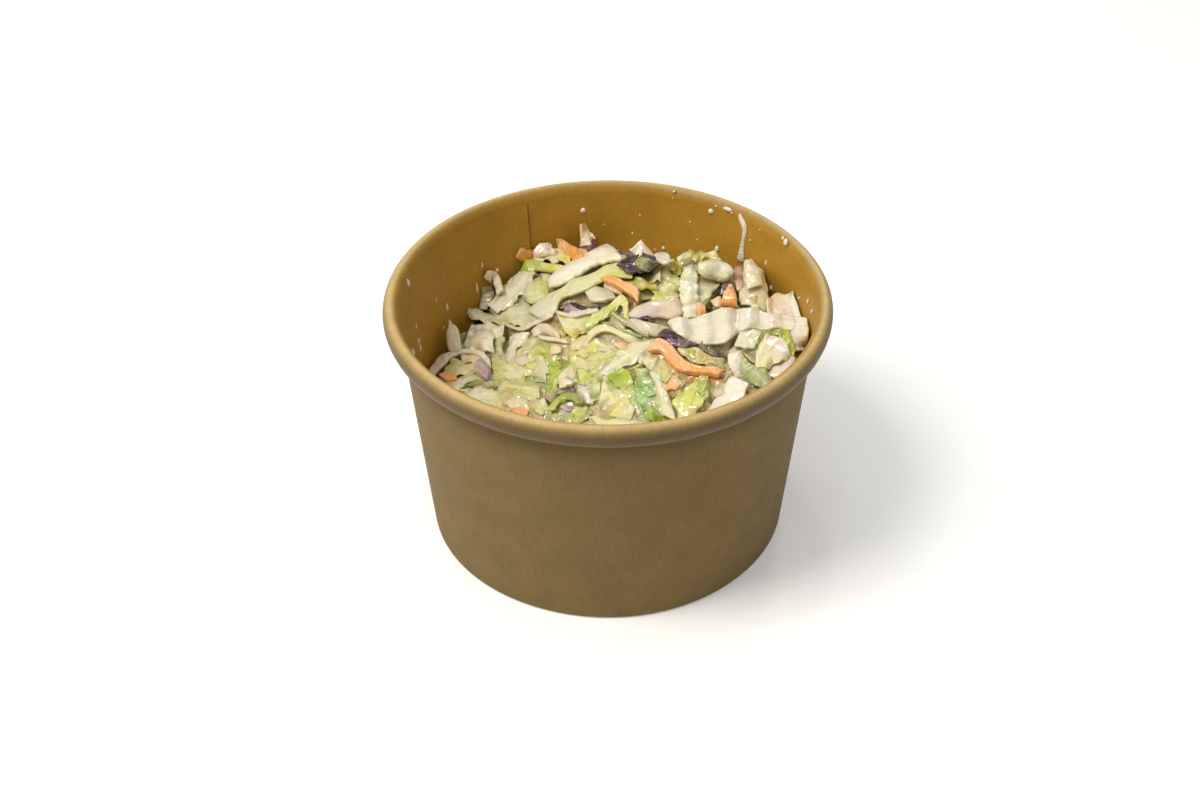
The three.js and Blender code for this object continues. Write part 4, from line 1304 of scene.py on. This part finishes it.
# The two ways in which a Mix node mixes colours: one over the other, and multiplied.
COLOURS = {"data_type": "RGBA"}
MULTIPLY = {"data_type": "RGBA", "blend_type": "MULTIPLY"}


def rgba(code):
    """An sRGB hex colour as a colour socket takes it."""
    return (*srgb(code), 1)


def new_material(name):
    """An empty material and its node tree."""
    material = bpy.data.materials.new(name)
    material.use_nodes = True
    material.node_tree.nodes.clear()
    return material, material.node_tree


def add(tree, kind, settings=None, out=None, stops=(), **inputs):
    """Adds a node with its settings and links, and gives one of its outputs: the first, or the one named.

    An input is a value, or another node's output to link. It is named after its socket, or with _ and its
    number. Stops are the places and greys of a colour ramp.
    """
    made = tree.nodes.new("ShaderNode" + kind)
    for key, value in (settings or {}).items():
        setattr(made, key, value)
    for k, (at, grey) in enumerate(stops):
        made.color_ramp.elements[k].position = at
        made.color_ramp.elements[k].color = (grey, grey, grey, 1)
    named = {socket.name: socket for socket in made.inputs if socket.enabled}
    for key, value in inputs.items():
        socket = made.inputs[int(key[1:])] if key[0] == "_" else named[key.replace("_", " ")]
        if isinstance(value, bpy.types.NodeSocket):
            tree.links.new(value, socket)
        else:
            socket.default_value = value
    shown = [socket for socket in made.outputs if socket.enabled]
    return made.outputs[out] if out else (shown or [None])[0]


def patches(tree, colour, other, vector, scale, detail, roughness, stops, blend=COLOURS):
    """Lays another colour over a colour in patches of noise. Stops are values of the noise and shares."""
    noise = add(tree, "TexNoise", Vector=vector, Scale=scale, Detail=detail, Roughness=roughness)
    share = add(tree, "ValToRGB", stops=stops, Fac=noise)
    return add(tree, "Mix", blend, Factor=share, A=colour, B=other)


def kraft_material(name, settings, roughness, ior, coat):
    """Kraft board: brown, faintly clouded and streaked by its fibres.

    It is matt when bare and softly glossy when coated. The coated lining is warmer than the bare outside.
    """
    material, tree = new_material(name)
    spot = add(tree, "TexCoord", out="Object")
    unrolled = add(tree, "UVMap", {"uv_map": "round_cup"})
    # Real fibres are 0.03 mm wide and 2 mm long; these are 0.5 mm wide so that they show.
    stretched = add(tree, "Mapping", Vector=unrolled, Scale=(1.0, 0.12, 1.0))
    fibre = add(tree, "TexNoise", Vector=stretched, Scale=MAP_UNIT / 0.5, Detail=3.0, Roughness=0.6)
    streaked = add(tree, "ValToRGB", stops=((0.35, 0.0), (0.7, 0.4)), Fac=fibre)
    board, clouds = (*settings.board_colour, 1), (*settings.cloud_colour, 1)
    colour = patches(tree, board, clouds, spot, METRE / 9.0, 3.0, 0.5, ((0.3, 0.0), (0.75, 1.0)))
    colour = add(tree, "Mix", COLOURS, Factor=streaked, A=colour, B=(*settings.fibre_colour, 1))
    colour = patches(tree, colour, rgba("5A4424"), spot, METRE / 0.9, 2.0, 0.7, ((0.58, 0.0), (0.76, 0.4)))
    # The lining is warmer, a painted highlight pales the roll's top, and seam lines and painted shade darken.
    changes = {"lining": (2.28, 1.79, 0.5, 1), "painted_highlight": (2.75, 2.9, 3.4, 1), "seam_line_and_shade": (0.4, 0.36, 0.3, 1)}
    for part, change in changes.items():
        share = add(tree, "Attribute", {"attribute_name": part}, "Fac")
        colour = add(tree, "Mix", MULTIPLY, Factor=share, A=colour, B=change)
    bump = add(tree, "Bump", Strength=0.12, Distance=0.0002, Height=fibre)
    shader = add(
        tree, "BsdfPrincipled", Base_Color=colour, Roughness=roughness, IOR=ior, Coat_Weight=coat,
        Coat_Roughness=0.3, Coat_IOR=1.5, Normal=bump,
    )
    add(tree, "OutputMaterial", Surface=shader)
    return material


def paint_crevice_shade(tree, colour):
    """Painted shade, darker and warmer down between the shreds, by how deep each point lies."""
    deep = add(tree, "Attribute", {"attribute_name": "deep"}, "Fac")
    return add(tree, "Mix", MULTIPLY, Factor=deep, A=colour, B=(0.48, 0.39, 0.18, 1))


def film_height(tree, spot, beads, swells, detail, roughness):
    """Relief of a wet film that gathers in beads and slow swells, whose sizes are in mm."""
    bead = add(tree, "TexNoise", Vector=spot, Scale=METRE / beads, Detail=detail, Roughness=roughness)
    swell = add(tree, "TexNoise", Vector=spot, Scale=METRE / swells, Detail=1.0, Roughness=0.5)
    return add(tree, "Math", {"operation": "MULTIPLY_ADD"}, _0=bead, _1=0.45, _2=swell)


# The piece that each kind of shred makes up, the name of its material, and what that is like: how much cream
# clings to it, how strong its veins are, how much light gets into it, its roughness, what light through its
# flesh does to its tint, and how green it is flushed. White cabbage rib is firm and pale, the leaf thin and
# veined, carrot dense, and red cabbage skin dark.
FINISHES = {
    "rib": (
        "cabbage_ribs", "white cabbage rib",
        dict(cream=0.5, veins=0.5, soft=0.45, roughness=0.3, glow=(0.84, 0.8, 0.62), flush=0.35),
    ),
    "leaf": (
        "cabbage_leaves", "white cabbage leaf",
        dict(cream=0.5, veins=1.0, soft=0.35, roughness=0.3, glow=(0.8, 0.82, 0.48), flush=0.6),
    ),
    "carrot": (
        "carrot_shreds", "raw carrot",
        dict(cream=0.22, veins=0.5, soft=0.3, roughness=0.3, glow=(1.0, 0.76, 0.5), flush=0.0),
    ),
    "red": (
        "red_cabbage_shreds", "red cabbage",
        dict(cream=0.12, veins=0.5, soft=0.2, roughness=0.35, glow=(0.7, 0.5, 0.72), flush=0.0),
    ),
    "green": (
        "green_shreds", "green leaf edge",
        dict(cream=0.22, veins=0.7, soft=0.3, roughness=0.3, glow=(0.75, 0.85, 0.45), flush=0.0),
    ),
}


def shred_material(name, cream_colour, cream, veins, soft, roughness, glow, flush):
    """A wet raw vegetable shred: juicy flesh that lets light in, under a film with patches of dressing."""
    material, tree = new_material(name)
    spot = add(tree, "TexCoord", out="Object")
    along = add(tree, "UVMap", {"uv_map": "along_shred"})
    tint = add(tree, "VertexColor", {"layer_name": "tint"})
    # Veins run along the shred, about 1.7 mm apart, with paler flesh over them.
    lengthwise = add(tree, "Mapping", Vector=along, Scale=(0.2, 1.0, 1.0))
    vein = add(tree, "TexNoise", Vector=lengthwise, Scale=MAP_UNIT / 1.7, Detail=3.0, Roughness=0.6)
    sunk = add(tree, "ValToRGB", stops=((0.3, veins), (0.48, 0.0)), Fac=vein)
    raised = add(tree, "ValToRGB", stops=((0.52, 0.0), (0.7, 0.9 * veins)), Fac=vein)
    dark = add(tree, "Mix", MULTIPLY, Factor=1.0, A=tint, B=(*glow, 1))
    paler = add(tree, "Mix", COLOURS, Factor=0.55, A=tint, B=rgba("F4EFDC"))
    colour = add(tree, "Mix", COLOURS, Factor=sunk, A=tint, B=dark)
    colour = add(tree, "Mix", COLOURS, Factor=raised, A=colour, B=paler)
    colour = patches(tree, colour, dark, spot, METRE / 1.8, 4.0, 0.65, ((0.45, 0.0), (0.8, 0.22)))
    # White cabbage is flushed with a little green, every 5 mm or so.
    flushes = add(tree, "Mapping", Vector=along, Scale=(0.6, 1.0, 1.0))
    greener, stops = (0.97, 0.98, 0.7, 1), ((0.46, 0.0), (0.62, flush))
    colour = patches(tree, colour, greener, flushes, MAP_UNIT / 5.2, 2.0, 0.5, stops, MULTIPLY)
    clinging, stops = (*cream_colour, 1), ((0.46, 0.0), (0.62, cream))
    colour = patches(tree, colour, clinging, spot, METRE / 5.0, 4.0, 0.65, stops)
    # The film gathers in beads of a millimetre or less, which catch the light.
    height = film_height(tree, spot, beads=0.9, swells=2.4, detail=1.5, roughness=0.5)
    bump = add(tree, "Bump", Strength=0.75, Distance=0.0005, Height=height)
    shader = add(
        tree, "BsdfPrincipled", Base_Color=paint_crevice_shade(tree, colour), Roughness=roughness, IOR=1.4,
        Subsurface_Weight=soft, Subsurface_Radius=(1.0, 0.75, 0.4), Subsurface_Scale=0.0016,
        Coat_Weight=0.9, Coat_Roughness=0.07, Coat_IOR=1.45, Normal=bump,
    )
    add(tree, "OutputMaterial", Surface=shader)
    return material


def dressing_material(name, thin, thick, shaded, soft, tinted):
    """Mayonnaise dressing thinned with vegetable juice: cream with a wet gloss.

    It runs from a thin to a thick colour, is shaded and soft from 0 to 1, and if tinted shows what it covers.
    """
    material, tree = new_material(name)
    spot = add(tree, "TexCoord", out="Object")
    thin, thick = (*thin, 1), (*thick, 1)
    colour = patches(tree, thin, thick, spot, METRE / 7.0, 3.0, 0.6, ((0.35, 0.0), (0.7, 1.0)))
    if tinted:
        below = add(tree, "VertexColor", {"layer_name": "tint"})
        colour = patches(tree, colour, below, spot, METRE / 4.0, 3.0, 0.6, ((0.35, 0.5), (0.65, 0.95)))
    stops = ((0.5, 0.0), (0.8, shaded))
    colour = patches(tree, colour, rgba("A8944A"), spot, METRE / 1.8, 4.0, 0.65, stops)
    height = film_height(tree, spot, beads=0.7, swells=2.2, detail=2.0, roughness=0.55)
    bump = add(tree, "Bump", Strength=1.0, Distance=0.0008, Height=height)
    shader = add(
        tree, "BsdfPrincipled", Base_Color=paint_crevice_shade(tree, colour), Roughness=0.3, IOR=1.42,
        Subsurface_Weight=soft, Subsurface_Radius=(1.0, 0.85, 0.55), Subsurface_Scale=0.0012,
        Coat_Weight=1.0, Coat_Roughness=0.05, Normal=bump,
    )
    add(tree, "OutputMaterial", Surface=shader)
    return material


def floor_material(colour):
    """Matt white paper sweep, with a tone so faint that it only keeps the floor from looking flat."""
    material, tree = new_material("matt white paper sweep")
    spot = add(tree, "TexCoord", out="Object")
    darker = (*(0.98 * channel for channel in colour), 1)
    stops = ((0.3, 0.0), (0.7, 1.0))
    toned = patches(tree, (*colour, 1), darker, spot, METRE / 60.0, 2.0, 0.5, stops)
    shader = add(
        tree, "BsdfPrincipled", Base_Color=toned, Roughness=0.9, Emission_Color=(1, 1, 1, 1),
        Emission_Strength=0.18,
    )
    add(tree, "OutputMaterial", Surface=shader)
    return material


# ---- settings ----


class CupSettings(bpy.types.PropertyGroup):
    """How finely the cup is cut, and the colours of its board"""

    turns: bpy.props.IntProperty(
        name="Cup Segments", description="How finely the round cup is cut", default=180, min=160, max=360
    )
    board_colour: bpy.props.FloatVectorProperty(
        name="Board", description="Colour of the bare kraft board", subtype="COLOR", default=srgb("7A6640"),
        min=0, max=1,
    )
    cloud_colour: bpy.props.FloatVectorProperty(
        name="Clouds", description="Colour of the board where it is lighter", subtype="COLOR",
        default=srgb("846E45"), min=0, max=1,
    )
    fibre_colour: bpy.props.FloatVectorProperty(
        name="Fibres", description="Colour of the fibres in the board", subtype="COLOR",
        default=srgb("69572F"), min=0, max=1,
    )


class SaladSettings(bpy.types.PropertyGroup):
    """How the shreds are laid, and how deep and what colour the dressing is"""

    seed: bpy.props.IntProperty(name="Seed", description="Which random pile is laid", default=7)
    buried_count: bpy.props.IntProperty(
        name="Buried Shreds", description="Shreds laid under the others", default=230, min=0
    )
    spread_count: bpy.props.IntProperty(
        name="Spread Shreds", description="Shreds laid over the whole top", default=105, min=0
    )
    pile_depth: bpy.props.FloatProperty(
        name="Pile Depth", description="How far below the heap's surface the first shreds lie",
        default=0.0075, min=0, precision=4, unit="LENGTH",
    )
    film_depth: bpy.props.FloatProperty(
        name="Dressing Depth", description="How far the dressing lies below the tops of the shreds",
        default=0.0009, min=0, precision=4, unit="LENGTH",
    )
    cream_colour: bpy.props.FloatVectorProperty(
        name="Cream Patches", description="Colour of the dressing that clings to the shreds", subtype="COLOR",
        default=srgb("E8DAB4"), min=0, max=1,
    )
    thin_colour: bpy.props.FloatVectorProperty(
        name="Thin Dressing", description="Colour of the dressing where it is thin", subtype="COLOR",
        default=srgb("B0A860"), min=0, max=1,
    )
    thick_colour: bpy.props.FloatVectorProperty(
        name="Thick Dressing", description="Colour of the dressing where it is thick", subtype="COLOR",
        default=srgb("C9C486"), min=0, max=1,
    )


class StageSettings(bpy.types.PropertyGroup):
    """The floor's colour and the light's power"""

    floor_colour: bpy.props.FloatVectorProperty(
        name="Floor Colour", description="Colour of the plain floor", subtype="COLOR",
        default=srgb("FBFBF9"), min=0, max=1,
    )
    key_power: bpy.props.FloatProperty(
        name="Key Light", description="Power of the soft light over the cup", default=7.1, min=0,
        unit="POWER",
    )


# ---- operators ----


class COLESLAW_OT_cup(bpy.types.Operator):
    """Model the paper cup's rolled wall and its recessed base"""

    bl_idname = "coleslaw.cup"
    bl_label = "Paper Cup"

    def execute(self, context):
        settings = context.scene.coleslaw_cup
        wall = spin_section("paper_wall", board_section(wall_line()), settings.turns)
        covered = shape_wall(wall, settings.turns)
        base = spin_section("paper_base", board_section(base_line()), settings.turns)
        bare = kraft_material("bare kraft board", settings, roughness=0.65, ior=1.2, coat=0.0)
        coated = kraft_material("coated kraft board", settings, roughness=0.5, ior=1.3, coat=0.12)
        for piece, node, slot in ((wall, "cup_wall", "kraft_wall"), (base, "cup_base", "kraft_base")):
            unroll(piece)
            context.view_layer.objects.active = piece
            piece.select_set(True)
            bpy.ops.object.shade_smooth_by_angle(angle=math.radians(40))
            finish_piece(piece, bare, slot, node)
        # The coat on the board's inner face is rolled outwards at the rim.
        wall.data.materials.append(coated)
        corners = [face.vertices[0] for face in wall.data.polygons]
        wall.data.polygons.foreach_set("material_index", covered[corners].astype(int))
        return {"FINISHED"}


class COLESLAW_OT_pile(bpy.types.Operator):
    """Lay every shred of the salad, one on another"""

    bl_idname = "coleslaw.pile"
    bl_label = "Lay the Pile"

    def execute(self, context):
        global PILE
        PILE = lay_pile(context.scene.coleslaw_salad)
        return {"FINISHED"}


class COLESLAW_OT_shreds(bpy.types.Operator):
    """Bend a blank strip into each shred, and join the shreds of a kind"""

    bl_idname = "coleslaw.shreds"
    bl_label = "Shreds"

    def execute(self, context):
        if PILE is None:
            raise RuntimeError("the pile has not been laid")
        blanks = {
            "fine": model_blank("fine_blank", steps=26, rows=5, rounds=1),
            "broad": model_blank("broad_blank", steps=20, rows=5, rounds=1),
            "medium": model_blank("medium_blank", steps=14, rows=3, rounds=1),
            "coarse": model_blank("coarse_blank", steps=8, rows=2, rounds=0),
        }
        for kind, (name, finish, values) in FINISHES.items():
            piece = join_shreds(name, kind, blanks)
            cream_colour = context.scene.coleslaw_salad.cream_colour
            finish_piece(piece, shred_material(finish, cream_colour, **values), "salad")
        return {"FINISHED"}


class COLESLAW_OT_dressing(bpy.types.Operator):
    """Model the dressed core of the salad, which shows between the shreds"""

    bl_idname = "coleslaw.dressing"
    bl_label = "Dressed Core"

    def execute(self, context):
        if PILE is None:
            raise RuntimeError("the pile has not been laid")
        settings = context.scene.coleslaw_salad
        deselect()
        bpy.ops.mesh.primitive_grid_add(x_subdivisions=CORE_STEPS, y_subdivisions=CORE_STEPS, size=2)
        core = context.object
        core.name = "dressed_core"
        u, v, _ = coordinates(core.data).T
        x, y = round_places(u, v)
        rough = inner_radius(EDGE_HEIGHT) - CORE_GAP
        z = read_grid(dressing_film(PILE.heights, in_mm(settings.film_depth)), x * rough, y * rough)
        span = inner_radius(z) - CORE_GAP
        points = np.column_stack([x * span, y * span, z])
        place(core.data, points * MM)
        soft = [soften(PILE.heights.tint[..., channel], 0.5 / GRID) for channel in range(3)]
        write_tints(core.data, np.column_stack([read_grid(grid, x * rough, y * rough) for grid in soft]))
        # How deep each point lies, which its material darkens as painted shade between the shreds.
        write_values(core.data, "deep", depth_share(points))
        close_core(core)
        bpy.ops.object.shade_smooth_by_angle(angle=math.radians(60))
        material = dressing_material(
            "creamy dressing", settings.thin_colour, settings.thick_colour, shaded=0.5, soft=0.4, tinted=True
        )
        finish_piece(core, material, "salad", "coleslaw")
        return {"FINISHED"}


class COLESLAW_OT_drops(bpy.types.Operator):
    """Model the drops and the run of dressing on the inside of the wall"""

    bl_idname = "coleslaw.drops"
    bl_label = "Dressing Drops"

    def execute(self, context):
        deselect()
        bpy.ops.mesh.primitive_ico_sphere_add(subdivisions=2, radius=1)
        drop = context.object
        drop.name = "dressing_drops"
        ball = coordinates(drop.data)
        faces = np.array([tuple(face.vertices) for face in drop.data.polygons])
        bpy.data.objects.remove(drop)
        run = smooth_path(WALL_RUN, RUN_DROPS)
        drops = [*WALL_DROPS, *((u, v, RUN_DROP_LENGTH, width) for u, v, width in run)]
        points = [drop_points(ball, spot_on_wall(u, v), length, width) for u, v, length, width in drops]
        corners = [faces + k * len(ball) for k in range(len(drops))]
        mesh = bpy.data.meshes.new("dressing_drops")
        mesh.from_pydata((np.vstack(points) * MM).tolist(), [], np.vstack(corners).tolist())
        mesh.shade_smooth()
        piece = bpy.data.objects.new("dressing_drops", mesh)
        context.scene.collection.objects.link(piece)
        material = dressing_material(
            "drops of dressing", srgb("EADFC6"), srgb("F8F0E0"), shaded=0.1, soft=0.05, tinted=False
        )
        finish_piece(piece, material, "salad")
        return {"FINISHED"}


# The lights: where each stands in metres, how wide it is, and its power as a share of the key light's.
LAMPS = {
    "key": ((-0.5, -0.25, 1.0), 0.4, 1.0),
    "side": ((-0.9, -0.25, 0.55), 0.5, 0.35),
    "overhead": ((-0.1, -0.1, 1.2), 0.9, 0.2),
    "front": ((0.15, -0.7, 1.0), 0.18, 0.14),
    # These are small and high, for the fine glints on the wet salad.
    "glint": ((0.02, 0.35, 1.1), 0.06, 0.08),
    "left glint": ((-0.35, 0.6, 0.95), 0.07, 0.05),
    "near glint": ((-0.1, -0.1, 1.2), 0.06, 0.05),
    # Low behind the cup, for the sheen on what lies level.
    "sheen": ((0.25, 0.85, 0.8), 0.2, 0.22),
}
LAMP_AIM = Vector((0, 0, 0.05))
LAMP_COLOUR = (1.0, 0.97, 0.92)
ROOM_LIGHT = 0.27
FLOOR_SIZE = 6.0  # metres


class COLESLAW_OT_stage(bpy.types.Operator):
    """Add the plain floor, the soft studio light and the camera"""

    bl_idname = "coleslaw.stage"
    bl_label = "Stage"

    def execute(self, context):
        scene = context.scene
        settings = scene.coleslaw_stage
        deselect()
        bpy.ops.mesh.primitive_plane_add(size=FLOOR_SIZE)
        floor = context.object
        floor.name = "floor"
        floor.data.materials.append(floor_material(settings.floor_colour))

        scene.world = bpy.data.worlds.new("soft white room")
        scene.world.use_nodes = True
        background = scene.world.node_tree.nodes["Background"]
        background.inputs["Color"].default_value = (1, 1, 1, 1)
        background.inputs["Strength"].default_value = ROOM_LIGHT
        for name, (spot, size, share) in LAMPS.items():
            lamp = bpy.data.lights.new(name, "AREA")
            lamp.size, lamp.energy, lamp.color = size, share * settings.key_power, LAMP_COLOUR
            light = bpy.data.objects.new(name, lamp)
            light.location = spot
            light.rotation_euler = (LAMP_AIM - Vector(spot)).to_track_quat("-Z", "Y").to_euler()
            scene.collection.objects.link(light)
        self.add_camera(scene)
        scene.view_settings.view_transform = "Standard"
        scene.view_settings.exposure = 0.0
        return {"FINISHED"}

    def add_camera(self, scene):
        """Adds the camera that the top shreds are laid for."""
        camera = bpy.data.objects.new("camera", bpy.data.cameras.new("camera"))
        camera.data.sensor_width = SENSOR_WIDTH
        camera.data.lens = FOCAL_PIXELS / VIEW_WIDTH * SENSOR_WIDTH
        camera.data.shift_x = (VIEW_WIDTH / 2 - AIM_SPOT[0]) / VIEW_WIDTH
        camera.data.shift_y = (AIM_SPOT[1] - VIEW_HEIGHT / 2) / VIEW_WIDTH
        camera.data.clip_start, camera.data.clip_end = 0.01, 20
        camera.location = CAMERA_PLACE * MM
        camera.rotation_euler = Vector(AHEAD).to_track_quat("-Z", "Y").to_euler()
        scene.collection.objects.link(camera)
        scene.camera = camera


OPERATORS = (
    COLESLAW_OT_cup,
    COLESLAW_OT_pile,
    COLESLAW_OT_shreds,
    COLESLAW_OT_dressing,
    COLESLAW_OT_drops,
    COLESLAW_OT_stage,
)


class COLESLAW_PT_panel(bpy.types.Panel):
    """The settings of the cup, the salad and the stage, and the steps that build them"""

    bl_label = "Coleslaw Cup"
    bl_idname = "COLESLAW_PT_panel"
    bl_space_type = "VIEW_3D"
    bl_region_type = "UI"
    bl_category = "Coleslaw"

    def draw(self, context):
        scene = context.scene
        for label, group in (
            ("Cup", scene.coleslaw_cup),
            ("Salad", scene.coleslaw_salad),
            ("Stage", scene.coleslaw_stage),
        ):
            box = self.layout.box()
            box.label(text=label)
            for key in group.__annotations__:
                box.prop(group, key)
        for operator in OPERATORS:
            self.layout.operator(operator.bl_idname)


CLASSES = (CupSettings, SaladSettings, StageSettings, *OPERATORS, COLESLAW_PT_panel)


def register():
    """Registers the classes and hangs the settings on the scene."""
    for cls in CLASSES:
        bpy.utils.register_class(cls)
    bpy.types.Scene.coleslaw_cup = bpy.props.PointerProperty(type=CupSettings)
    bpy.types.Scene.coleslaw_salad = bpy.props.PointerProperty(type=SaladSettings)
    bpy.types.Scene.coleslaw_stage = bpy.props.PointerProperty(type=StageSettings)


def unregister():
    """Takes the settings and the classes away again."""
    del bpy.types.Scene.coleslaw_cup, bpy.types.Scene.coleslaw_salad, bpy.types.Scene.coleslaw_stage
    for cls in reversed(CLASSES):
        bpy.utils.unregister_class(cls)


def main():
    """Builds the cup, the salad and the stage in order."""
    register()
    bpy.ops.coleslaw.cup()
    bpy.ops.coleslaw.pile()
    bpy.ops.coleslaw.shreds()
    bpy.ops.coleslaw.dressing()
    bpy.ops.coleslaw.drops()
    bpy.ops.coleslaw.stage()


if __name__ == "__main__":
    main()
